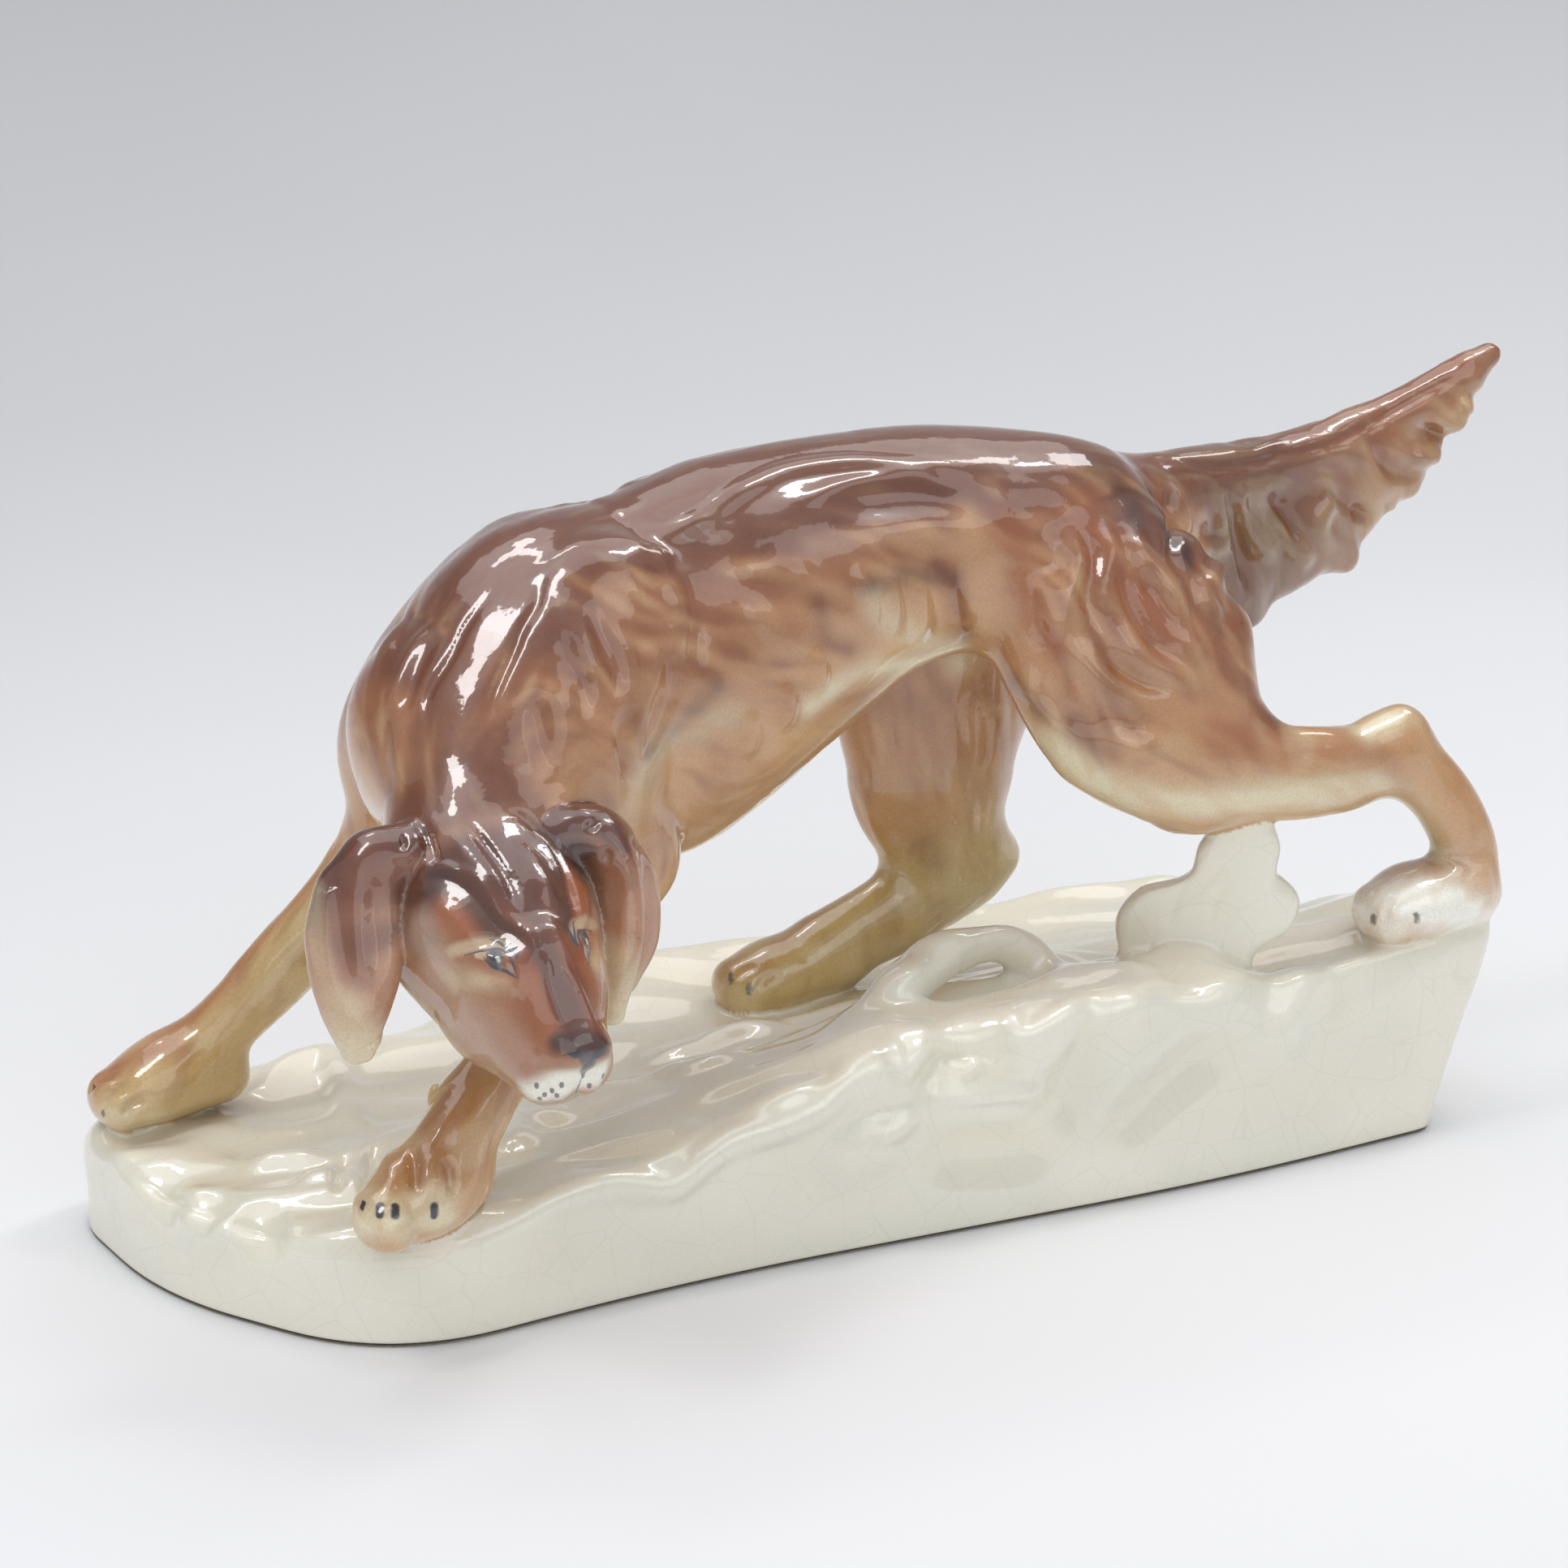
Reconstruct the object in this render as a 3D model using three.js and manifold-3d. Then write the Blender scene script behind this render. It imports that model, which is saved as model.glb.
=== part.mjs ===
// Porcelain setter figurine on a rock plinth, parted the way its castings are luted together.
// Millimetres, +Z up. The dog faces -X, its left side is -Y, and its head turns towards -Y.
import * as THREE from 'three';
import Module from 'manifold-3d';

const wasm = await Module();
wasm.setup();

// Joints between castings
const lutingGap = 0.3;

// Plinth: a hollow rock slab, low at the head end and high along the near rim
const plinthLength = 307; // at the foot
const plinthWidth = 134;
const plinthWall = 7;
const plinthRoof = 8;
const headEndHeight = 25;
const rimHeight = 52;
const farHeight = 33;
const farLip = 5; // rise of the rock towards its far edge
const tailEndLean = 19; // how far the tail end overhangs its foot at full height
const rimRounding = 12;

// Dog
const skullHalfWidth = 21.5;
const skullHalfDepth = 19.5;
const skullLength = 52; // eyes to the back of the skull
const muzzleLength = 32; // eyes to the tip of the nose
const muzzleHalfWidth = 10.5;
const muzzleHalfDepth = 12;
const earHalfWidth = 12.5;
const earHalfThickness = 4.5;
const pastern = 7.5; // half-width of the thin part of a leg
const pawHalfWidth = 12.5;
const tailCord = 6.5; // radius of the bony part of the tail
const tailFringe = 20; // half-drop of the feather under it

// Plants modelled on the plinth
const archThickness = 5;
const leafHalfThickness = 3.2;

// Facet size of each casting
const facet = { plinth: 9.2, hollow: 12, trunk: 7.4, head: 4.6, ear: 4, leg: 5, tail: 5.4, plant: 4.2 };

// A mass is a run of elliptical sections along a smooth curve, written [x, y, z, a, b].
// a is the half-size along the direction called across, and b is the half-size the other ways.
function mass(sections, { across = [0, 1, 0], blend = 6, steps = 5, carve = false } = {}) {
  const places = sections.map(([x, y, z]) => new THREE.Vector3(x, y, z));
  const halves = sections.map(([, , , a, b = a]) => new THREE.Vector3(a, b, 0));
  const count = (sections.length - 1) * steps;
  const points = count ? new THREE.CatmullRomCurve3(places).getPoints(count) : [places[0], places[0]];
  const sizes = count ? new THREE.CatmullRomCurve3(halves).getPoints(count) : [halves[0], halves[0]];
  const reach = Math.max(...sizes.map((s) => Math.max(s.x, s.y))) + blend + 6;
  const box = new THREE.Box3().setFromPoints(points).expandByScalar(reach);
  return { points, sizes, across: new THREE.Vector3(...across).normalize(), blend, carve, box };
}

// Distance from a point to a mass, below zero inside it
function distanceToMass({ points, sizes, across }, x, y, z) {
  let nearest = Infinity;
  let n = 0;
  let part = 0;
  for (let i = 0; i < points.length - 1; i++) {
    const a = points[i];
    const b = points[i + 1];
    const [ux, uy, uz] = [b.x - a.x, b.y - a.y, b.z - a.z];
    const along = ((x - a.x) * ux + (y - a.y) * uy + (z - a.z) * uz) / (ux * ux + uy * uy + uz * uz || 1);
    const t = Math.min(1, Math.max(0, along));
    const d2 = (x - a.x - ux * t) ** 2 + (y - a.y - uy * t) ** 2 + (z - a.z - uz * t) ** 2;
    if (d2 < nearest) [nearest, n, part] = [d2, i, t];
  }
  const [a, b] = [points[n], points[n + 1]];
  const halfA = sizes[n].x + (sizes[n + 1].x - sizes[n].x) * part;
  const halfB = sizes[n].y + (sizes[n + 1].y - sizes[n].y) * part;
  const dx = x - a.x - (b.x - a.x) * part;
  const dy = y - a.y - (b.y - a.y) * part;
  const dz = z - a.z - (b.z - a.z) * part;
  const s = across.x * dx + across.y * dy + across.z * dz;
  const rest = Math.max(0, nearest - s * s);
  const k = Math.sqrt((s / halfA) ** 2 + rest / halfB ** 2);
  const g = Math.sqrt(s * s / halfA ** 4 + rest / halfB ** 4);
  return g > 1e-9 ? (k * (k - 1)) / g : -Math.min(halfA, halfB);
}

function softMin(a, b, blend) {
  const h = Math.max(blend - Math.abs(a - b), 0) / blend;
  return Math.min(a, b) - (h * h * blend) / 4;
}
const softMax = (a, b, blend) => -softMin(-a, -b, blend);

// A form is a list of masses, or of objects with a box and a distance(x, y, z) of their own.
// The distances to it are taken on a grid, less a clearance where the form is grown.
function sampleForm(form, cell, clearance) {
  const box = new THREE.Box3();
  for (const m of form) if (!m.carve) box.union(m.box);
  const size = box.getSize(new THREE.Vector3());
  const counts = [size.x, size.y, size.z].map((s) => Math.ceil(s / cell) + 1);
  const [nx, ny, nz] = counts;
  const origin = box.min;
  const field = new Float32Array(nx * ny * nz).fill(1e3);
  const range = (low, high, from, n) => [
    Math.max(1, Math.floor((low - from) / cell)),
    Math.min(n - 2, Math.ceil((high - from) / cell)),
  ];
  for (const m of form) {
    const distance = m.distance ?? ((x, y, z) => distanceToMass(m, x, y, z));
    const [i0, i1] = range(m.box.min.x, m.box.max.x, origin.x, nx);
    const [j0, j1] = range(m.box.min.y, m.box.max.y, origin.y, ny);
    const [k0, k1] = range(m.box.min.z, m.box.max.z, origin.z, nz);
    for (let k = k0; k <= k1; k++)
      for (let j = j0; j <= j1; j++)
        for (let i = i0; i <= i1; i++) {
          const n = i + nx * (j + ny * k);
          const d = distance(origin.x + i * cell, origin.y + j * cell, origin.z + k * cell);
          field[n] = m.carve ? softMax(field[n], -d, m.blend) : softMin(field[n], d, m.blend);
        }
  }
  for (let n = 0; n < field.length; n++) field[n] -= clearance;
  fillPinches(field, counts);
  return { field, counts, origin };
}

// Where the inside touches itself only across a grid square's diagonal, the square is filled.
function fillPinches(field, [nx, ny, nz]) {
  const squares = [[1, nx], [nx, nx * ny], [1, nx * ny]];
  let filled = true;
  while (filled) {
    filled = false;
    for (let n = 0; n < field.length - nx * ny - nx; n++)
      for (const [u, v] of squares) {
        const inside = [n, n + u, n + u + v, n + v].map((m) => field[m] < 0);
        if (inside[0] !== inside[2] || inside[1] !== inside[3] || inside[0] === inside[1]) continue;
        const open = inside[0] ? [n + u, n + v] : [n, n + u + v];
        const fill = field[open[0]] < field[open[1]] ? open[0] : open[1];
        field[fill] = -Math.max(field[fill], 0.05);
        filled = true;
      }
  }
}

// Skins a form with a closed net of facets about one cell across, grown outwards by a clearance if asked.
function skin(form, cell, clearance = 0) {
  const { field, counts, origin } = sampleForm(form, cell, clearance);
  const [nx, ny, nz] = counts;
  const at = (i, j, k) => i + nx * (j + ny * k);
  const value = (i, j, k) => field[at(i, j, k)];
  const corners = [0, 1, 2, 3, 4, 5, 6, 7].map((c) => [c & 1, (c >> 1) & 1, c >> 2]);
  const edges = corners.flatMap((_, c) => [1, 2, 4].filter((bit) => !(c & bit)).map((bit) => [c, c | bit]));
  const pointOf = new Int32Array(nx * ny * nz);
  const positions = [];
  for (let k = 0; k < nz - 1; k++)
    for (let j = 0; j < ny - 1; j++)
      for (let i = 0; i < nx - 1; i++) {
        const values = corners.map(([a, b, c]) => value(i + a, j + b, k + c));
        const sum = [0, 0, 0];
        let crossings = 0;
        for (const [p, q] of edges) {
          if (values[p] < 0 === values[q] < 0) continue;
          const t = values[p] / (values[p] - values[q]);
          for (let axis = 0; axis < 3; axis++)
            sum[axis] += corners[p][axis] + (corners[q][axis] - corners[p][axis]) * t;
          crossings++;
        }
        if (!crossings) continue;
        pointOf[at(i, j, k)] = positions.length / 3;
        positions.push(
          origin.x + (i + sum[0] / crossings) * cell,
          origin.y + (j + sum[1] / crossings) * cell,
          origin.z + (k + sum[2] / crossings) * cell,
        );
      }
  const triangles = [];
  const facetAround = (a, b, c, d, flipped) => {
    const ring = [a, b, c, d].map(([i, j, k]) => pointOf[at(i, j, k)]);
    if (flipped) ring.reverse();
    triangles.push(ring[0], ring[1], ring[2], ring[0], ring[2], ring[3]);
  };
  for (let k = 0; k < nz - 1; k++)
    for (let j = 0; j < ny - 1; j++)
      for (let i = 0; i < nx - 1; i++) {
        const inside = value(i, j, k) < 0;
        if (inside !== value(i + 1, j, k) < 0)
          facetAround([i, j - 1, k - 1], [i, j, k - 1], [i, j, k], [i, j - 1, k], !inside);
        if (inside !== value(i, j + 1, k) < 0)
          facetAround([i - 1, j, k - 1], [i - 1, j, k], [i, j, k], [i, j, k - 1], !inside);
        if (inside !== value(i, j, k + 1) < 0)
          facetAround([i - 1, j - 1, k], [i, j - 1, k], [i, j, k], [i - 1, j, k], !inside);
      }
  return toManifold(new Float32Array(positions), new Uint32Array(triangles));
}

function toManifold(vertProperties, triVerts) {
  return new wasm.Manifold(new wasm.Mesh({ numProp: 3, vertProperties, triVerts }));
}

// Plinth outline at the foot: a rounded polygon of [x, y, length of the rounding before and after the corner]
const headEnd = -plinthLength / 2 - 4.5;
const tailFoot = headEnd + plinthLength;
const nearTail = -plinthWidth / 2 + 1.5;
const nearHead = nearTail + 21;
const farSide = nearTail + plinthWidth;
const outlineCorners = [
  [headEnd, farSide, 22],
  [headEnd, 11, 22],
  [headEnd + 29, nearHead, 28],
  [headEnd + 104, nearHead, 40],
  [tailFoot - 66, nearTail + 2, 34],
  [tailFoot, nearTail, 7],
  [tailFoot, farSide - 16, 22],
  [tailFoot - 132, farSide - 11, 40],
  [headEnd + 104, farSide + 4, 40],
];

function roundedPolygon(corners) {
  const path = new THREE.Path();
  corners.forEach(([x, y, rounding], i) => {
    const here = new THREE.Vector2(x, y);
    const before = new THREE.Vector2(...corners.at(i - 1));
    const after = new THREE.Vector2(...corners[(i + 1) % corners.length]);
    const from = here.clone().add(before.sub(here).setLength(rounding));
    const to = here.clone().add(after.sub(here).setLength(rounding));
    if (i === 0) path.moveTo(from.x, from.y);
    else path.lineTo(from.x, from.y);
    path.quadraticCurveTo(x, y, to.x, to.y);
  });
  path.closePath();
  return path.getPoints(6);
}

// Distance in plan from a point to an outline, below zero inside it
function distanceToOutline(points, x, y) {
  let nearest = Infinity;
  let inside = false;
  for (let i = 0, j = points.length - 1; i < points.length; j = i++) {
    const [a, b] = [points[j], points[i]];
    const [ux, uy] = [b.x - a.x, b.y - a.y];
    const t = Math.min(1, Math.max(0, ((x - a.x) * ux + (y - a.y) * uy) / (ux * ux + uy * uy || 1)));
    nearest = Math.min(nearest, Math.hypot(x - a.x - ux * t, y - a.y - uy * t));
    if (a.y > y !== b.y > y && x < a.x + (ux * (y - a.y)) / uy) inside = !inside;
  }
  return inside ? -nearest : nearest;
}

const smooth = THREE.MathUtils.smoothstep;

// Height along a line of [x, z] places, eased from each to the next
function profile(places, x) {
  const next = places.findIndex(([px]) => px > x);
  if (next === 0) return places[0][1];
  if (next < 0) return places.at(-1)[1];
  const [[x0, z0], [x1, z1]] = [places[next - 1], places[next]];
  return z0 + (z1 - z0) * smooth(x, x0, x1);
}

// Level of the rock along the near rim and along the far side
const nearRim = [
  [headEnd, headEndHeight - 2],
  [headEnd + 50, headEndHeight + 2],
  [headEnd + 85, headEndHeight + 6],
  [headEnd + 112, headEndHeight + 10],
  [headEnd + 134, rimHeight - 10],
  [headEnd + 162, rimHeight - 3],
  [headEnd + 216, rimHeight + 1],
  [headEnd + 240, rimHeight - 1],
  [headEnd + 262, rimHeight - 7],
  [headEnd + 286, rimHeight - 4],
  [headEnd + 316, rimHeight + 1],
];
const farRim = [
  [headEnd, headEndHeight],
  [headEnd + 90, headEndHeight + 3],
  [headEnd + 160, farHeight],
  [headEnd + 210, farHeight],
  [headEnd + 310, farHeight - 3],
];
const rockLevel = (x, y) => {
  const rim = smooth(-y, -24, 44);
  const lip = farLip * smooth(y, 28, 58) * smooth(x, headEnd + 70, headEnd + 150);
  return (profile(farRim, x) + lip) * (1 - rim) + profile(nearRim, x) * rim;
};
const onRock = (x, y, height) => [x, y, rockLevel(x, y) + height];

// The rock as a solid whose sides are drawn in and whose top is lowered by the given walls
function rock(wall, roof, rounding) {
  const outline = roundedPolygon(outlineCorners);
  const box = new THREE.Box3(
    new THREE.Vector3(headEnd - 18, nearTail - 18, -24),
    new THREE.Vector3(tailFoot + tailEndLean + 22, farSide + 22, rimHeight + 24),
  );
  const distance = (x, y, z) => {
    const lean = (tailEndLean * Math.max(0, z)) / rimHeight;
    const foot = x - lean * smooth(x, tailFoot - 60, tailFoot);
    const side = distanceToOutline(outline, foot, y) + wall;
    return softMax(side, (z - rockLevel(x, y) + roof) * 0.9, rounding);
  };
  return { box, distance, blend: 0.01 };
}

// Roots and banks that grow out of the rock, and the hollows and creases pressed into it
const bank = mass(
  [
    [...onRock(-62, -34, -13), 7],
    [...onRock(-45, -31, -10), 7],
    [...onRock(-25, -30, -11), 7],
    [...onRock(-10, -30, -9), 7],
    [...onRock(9, -30, -4), 7],
  ],
  { blend: 10 },
);
const rimRoot = mass(
  [
    [...onRock(18, -52, -10), 5],
    [...onRock(41, -53, -8), 5],
    [...onRock(57, -50, -6), 5],
    [...onRock(71, -46, -3), 5],
    [...onRock(74, -44, -2), 4],
  ],
  { blend: 6 },
);
const pocket = mass(
  [[...onRock(22, -24, 3.5), 8], [...onRock(36, -28, 1), 9], [...onRock(45, -30, 1), 7]],
  { blend: 6, carve: true },
);
const wallCrease = mass(
  [[72, nearTail - 1.5, 38, 5], [51, nearTail - 2.5, 26, 5], [42, nearTail - 2.5, 17, 4]],
  { blend: 8, carve: true },
);
const rimScoop = mass(
  [
    [...onRock(97, nearTail - 9.5, 0), 12],
    [...onRock(112, nearTail - 10.5, -2.5), 13],
    [...onRock(128, nearTail - 11, -1), 13],
    [...onRock(141, nearTail - 12.5, 4), 12],
  ],
  { blend: 6, carve: true },
);
const plinthForm = [rock(0, 0, rimRounding), bank, rimRoot, pocket, wallCrease, rimScoop];

const rootArch = mass([
  [...onRock(5, -31, -6.5), archThickness + 2],
  [...onRock(13, -28, 3), archThickness + 1],
  [...onRock(23, -25, 7.5), archThickness],
  [...onRock(35, -22, 9), archThickness],
  [...onRock(46, -21, 8), archThickness],
  [...onRock(55, -23, 1.5), archThickness + 0.5],
  [...onRock(60, -27, -6.5), archThickness + 1],
]);

// A lobed leaf stands under the near hind leg, its blade square to (-0.53, -0.85, 0).
// The outline is [along the blade, height above the rock].
const leafFoot = new THREE.Vector2(92, -43);
const leafAcross = new THREE.Vector2(0.85, -0.53);
const leafGround = rockLevel(leafFoot.x, leafFoot.y);
const leafOutline = new THREE.SplineCurve(
  [
    [-20, -6.5], [-22, 8.5], [-16.5, 19], [-5, 24], [-1.5, 31.5], [5, 36], [13, 36.5], [17, 29.5],
    [16.5, 21.5], [22.5, 15.5], [20.5, 7.5], [13, 2.5], [8, -6.5], [-20, -6.5],
  ].map(([s, z]) => new THREE.Vector2(s, leafGround + z)),
).getPoints(39);
const leafBlade = {
  box: new THREE.Box3(
    new THREE.Vector3(62, -66, leafGround - 15),
    new THREE.Vector3(122, -20, leafGround + 46),
  ),
  blend: 3,
  distance: (x, y, z) => {
    const [dx, dy] = [x - leafFoot.x, y - leafFoot.y];
    const along = dx * leafAcross.x + dy * leafAcross.y;
    const curl = 0.004 * along * along - 0.05 * (z - 60);
    const through = Math.abs(dy * leafAcross.x - dx * leafAcross.y - curl) - leafHalfThickness;
    return softMax(distanceToOutline(leafOutline, along, z), through, leafHalfThickness);
  },
};
const lyingLeaf = mass(
  [[...onRock(79, -44, 0), 5, 3], [...onRock(90, -48, 0), 7.5, 3], [...onRock(102, -52, -1.5), 4, 2.5]],
  { across: [0.45, 0.89, 0], blend: 3 },
);

// Trunk, neck and the roots of the limbs
const trunk = mass([
  [-84, 4, 124, 22, 25],
  [-66, 3, 130, 30, 36],
  [-40, 2, 129, 33, 41],
  [-10, 0, 139, 32, 36],
  [22, -2, 149, 27, 28],
  [50, -4, 151, 26, 26],
  [80, -5, 147, 22, 23],
  [98, -4, 146, 13, 16],
]);
const brisket = mass([[-84, 4, 109, 15, 16], [-60, 3, 103, 16, 16], [-34, 1, 105, 13, 14]], { blend: 12 });
const neckAcross = [0.76, -0.65, 0];
const neck = mass(
  [[-56, 0, 138, 29, 28], [-72, -7, 130, 28, 27], [-86, -18, 115, 26, 23], [-95, -28, 103, 20, 19]],
  { across: neckAcross, blend: 10 },
);
const leftShoulder = mass(
  [[-58, -16, 152, 11, 15], [-68, -24, 130, 13, 18], [-66, -24, 110, 12, 15], [-57, -21, 95, 9, 12]],
  { blend: 8 },
);
const rightShoulder = mass(
  [[-58, 18, 150, 11, 15], [-75, 22, 133, 14, 17], [-85, 27, 116, 14, 16], [-82, 33, 94, 10, 13]],
  { blend: 8 },
);
const leftForearm = mass([
  [-56, -21, 95, 9, 12],
  [-70, -22, 74, 8, 9],
  [-90, -28, 57, pastern, 8],
  [...onRock(-106, -35, 18), 8.5],
  [...onRock(-113, -37, 10), 10, 9],
]);
const rightForearm = mass([
  [-82, 33, 94, 9.5, 13],
  [-95, 39, 76, 8.5, 10],
  [-110, 44, 60, pastern, 9],
  [...onRock(-126, 49, 18.5), 8, 7.5],
  [...onRock(-135, 51, 12.5), 9, 8],
]);
const leftForepaw = mass(
  [
    [...onRock(-106, -34, 8), 10, 8],
    [...onRock(-118, -38, 7.5), pawHalfWidth, 9.5],
    [...onRock(-127, -41, 7), 11, 7.5],
  ],
  { across: [0.3, 0.95, 0], blend: 5 },
);
const rightForepaw = mass(
  [
    [...onRock(-126, 50, 9), 9, 8],
    [...onRock(-140, 51, 9.5), pawHalfWidth - 1.5, 9.5],
    [...onRock(-149, 52, 7), 10, 7],
  ],
  { blend: 5 },
);
const leftHaunch = mass(
  [[66, -14, 152, 14, 24], [70, -26, 136, 15, 30], [78, -37, 117, 13, 31], [88, -44, 102, 11, 20]],
  { blend: 9 },
);
const rightHaunch = mass(
  [[66, 10, 150, 16, 24], [62, 19, 128, 16, 30], [58, 22, 106, 14, 30], [56, 22, 86, 11, 22]],
  { blend: 9 },
);
const leftGaskin = mass([
  [76, -42, 104, 11, 16],
  [100, -47, 96, 10, 12],
  [124, -50, 93, 9, 11],
  [142, -50, 94, 7, 9],
]);
const leftHock = mass([[138, -50, 99, 5], [144, -50, 101.5, 4]]);
const leftCannon = mass([
  [144, -50, 94, 7, 9],
  [157, -53, 80, pastern, 8],
  [...onRock(163, -55, 13), pastern, 8],
  [...onRock(161, -56, 6), 9],
]);
const leftHindpaw = mass(
  [
    [...onRock(161, -56, 4.5), 10, 8],
    [...onRock(148, -55, 5.5), pawHalfWidth, 9],
    [...onRock(138, -55, 6.5), 10, 7.5],
  ],
  { blend: 5 },
);
const rightShank = mass([[56, 22, 88, 11, 21], [58, 22, 74, 10, 18], [62, 22, 62, 9, 14]], { blend: 8 });
const rightHock = mass([[70, 21, 62, 6, 7], [76, 21, 60, 5]]);
const rightCannon = mass(
  [[64, 22, 60, 9, 13], [...onRock(46, 22, 17), 9, 11], [...onRock(26, 23, 11), 9]],
  { blend: 7 },
);
const rightHindpaw = mass(
  [
    [...onRock(28, 23, 8), 9, 8],
    [...onRock(12, 24, 7), pawHalfWidth - 1.5, 8.5],
    [...onRock(3, 25, 5), 9.5, 7],
  ],
  { blend: 5 },
);
const tailBone = mass(
  [[84, -4, 152, 11, 12], [108, -3, 155, 8], [137, 0, 155, tailCord], [176, 0, 162, 5], [214, 0, 177, 3.5]],
  { blend: 5 },
);
const tailFeather = mass([
  [102, -3, 145, 8, 14],
  [122, -1, 139, 7.5, tailFringe + 2],
  [144, 0, 140, 7, tailFringe],
  [166, 0, 148, 6, tailFringe - 4],
  [188, 0, 159, 5, 11],
  [205, 0, 170, 4, 5.5],
]);

// The head has a frame of its own between the eyes: forwards, to the dog's left, and upwards
const betweenEyes = new THREE.Vector3(-100.5, -58.5, 85.5);
const forwards = new THREE.Vector3(-0.05, -0.866, -0.497).normalize();
const leftwards = new THREE.Vector3(-forwards.y, forwards.x, 0).normalize();
const upwards = new THREE.Vector3().crossVectors(forwards, leftwards);
const onHead = (f, l, u, ...halves) => {
  const place = betweenEyes.clone();
  place.addScaledVector(forwards, f).addScaledVector(leftwards, l).addScaledVector(upwards, u);
  return [...place.toArray(), ...halves];
};
const acrossHead = { across: leftwards.toArray(), blend: 8 };
const crown = skullLength - 18;
const skull = mass(
  [
    onHead(-crown, 0, 1, skullHalfWidth - 3, skullHalfDepth - 1.5),
    onHead(-crown / 2, 0, 1, skullHalfWidth, skullHalfDepth),
    onHead(0, 0, 0, skullHalfWidth - 3, skullHalfDepth - 2),
  ],
  acrossHead,
);
const cheeks = mass(
  [onHead(-17, 0, -8, skullHalfWidth, 12), onHead(-4, 0, -8, skullHalfWidth - 4, 12)],
  acrossHead,
);
const noseEnd = muzzleLength - muzzleHalfDepth;
const muzzle = mass(
  [
    onHead(2, 0, -3, muzzleHalfWidth + 4, muzzleHalfDepth + 3),
    onHead(noseEnd / 2 + 2, 0, -2.5, muzzleHalfWidth + 1, muzzleHalfDepth + 1),
    onHead(noseEnd, 0, -2, muzzleHalfWidth, muzzleHalfDepth),
  ],
  acrossHead,
);
const nose = mass([onHead(muzzleLength - 4, 0, 5, 6.5, 4)], { ...acrossHead, blend: 3 });
const chin = mass(
  [onHead(8, 0, -11, 8, 5), onHead(noseEnd, 0, -11.5, 7, 4.5)],
  { ...acrossHead, blend: 4 },
);
const headForm = [neck, skull, cheeks, muzzle, nose, chin];

const rightEar = mass(
  [
    [-108, -33, 107, earHalfWidth - 4, 6],
    [-121, -30, 108, earHalfWidth - 2, 5.5],
    [-128, -33, 101, earHalfWidth, earHalfThickness],
    [-131.5, -39, 89, earHalfWidth, earHalfThickness],
    [-133.5, -43, 75, 8, earHalfThickness - 1],
  ],
  { across: [0.83, -0.55, 0], blend: 4 },
);
const leftEar = [
  mass(
    [
      [-84, -43, 108, earHalfWidth - 4, 6],
      [-73, -48, 110, earHalfWidth - 1, 5.5],
      [-72, -52, 101, earHalfWidth, earHalfThickness],
      [-74, -56, 90, earHalfWidth - 1, earHalfThickness],
      [-78, -59, 79, 6.5, earHalfThickness - 1],
    ],
    { across: [0.05, -1, 0], blend: 4 },
  ),
  mass(
    [[-70, -47, 108, 5, 5.5], [-65, -48, 99, 5, 5.5], [-66, -50, 88, 4.5, 6], [-71, -53, 80, 4, 4]],
    { blend: 5 },
  ),
];

// A seam parts the dog: everything past the plane and within reach belongs to the limb.
const seams = {
  head: { at: [-84, -16, 117], towards: [-0.58, -0.54, -0.6], reach: 32 },
  left_foreleg: { at: [-61, -22, 88], towards: [-0.6, 0, -0.8], reach: 30 },
  right_foreleg: { at: [-86, 36, 84], towards: [-0.55, 0.22, -0.8], reach: 30 },
  left_hind_leg: { at: [87, -44, 103], towards: [0.68, -0.28, -0.67], reach: 56 },
  right_hind_leg: { at: [57, 22, 84], towards: [0, 0, -1], reach: 60 },
  tail: { at: [105, -3, 149], towards: [1, 0, 0.1], reach: 40 },
};
const limbLength = 170;

// The round block of space past a seam, with its flat end moved off the seam and its side grown
function limbBlock({ at, towards, reach }, clearance) {
  const direction = new THREE.Vector3(...towards).normalize();
  const block = new THREE.CylinderGeometry(reach + clearance, reach + clearance, limbLength, 32);
  block.translate(0, limbLength / 2 - clearance, 0);
  block.applyQuaternion(new THREE.Quaternion().setFromUnitVectors(new THREE.Vector3(0, 1, 0), direction));
  block.translate(...at);
  return fromGeometry(block);
}

function fromGeometry(geometry) {
  const position = geometry.getAttribute('position');
  const index = new Map();
  const merged = [];
  const positions = [];
  for (let i = 0; i < position.count; i++) {
    const point = [position.getX(i), position.getY(i), position.getZ(i)];
    const key = point.map((c) => c.toFixed(4)).join();
    if (!index.has(key)) {
      index.set(key, positions.length / 3);
      positions.push(...point);
    }
    merged.push(index.get(key));
  }
  const corners = [...geometry.index.array].map((i) => merged[i]);
  const triangles = [];
  for (let i = 0; i < corners.length; i += 3) {
    const [a, b, c] = corners.slice(i, i + 3);
    if (a !== b && b !== c && c !== a) triangles.push(a, b, c);
  }
  return toManifold(new Float32Array(positions), new Uint32Array(triangles));
}

// Everything below the table is cut away
function standOnTable(solid) {
  const depth = 60;
  const below = new THREE.BoxGeometry(3 * plinthLength, 3 * plinthWidth, depth);
  below.translate(0, 0, -depth / 2);
  return solid.subtract(fromGeometry(below));
}

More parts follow.
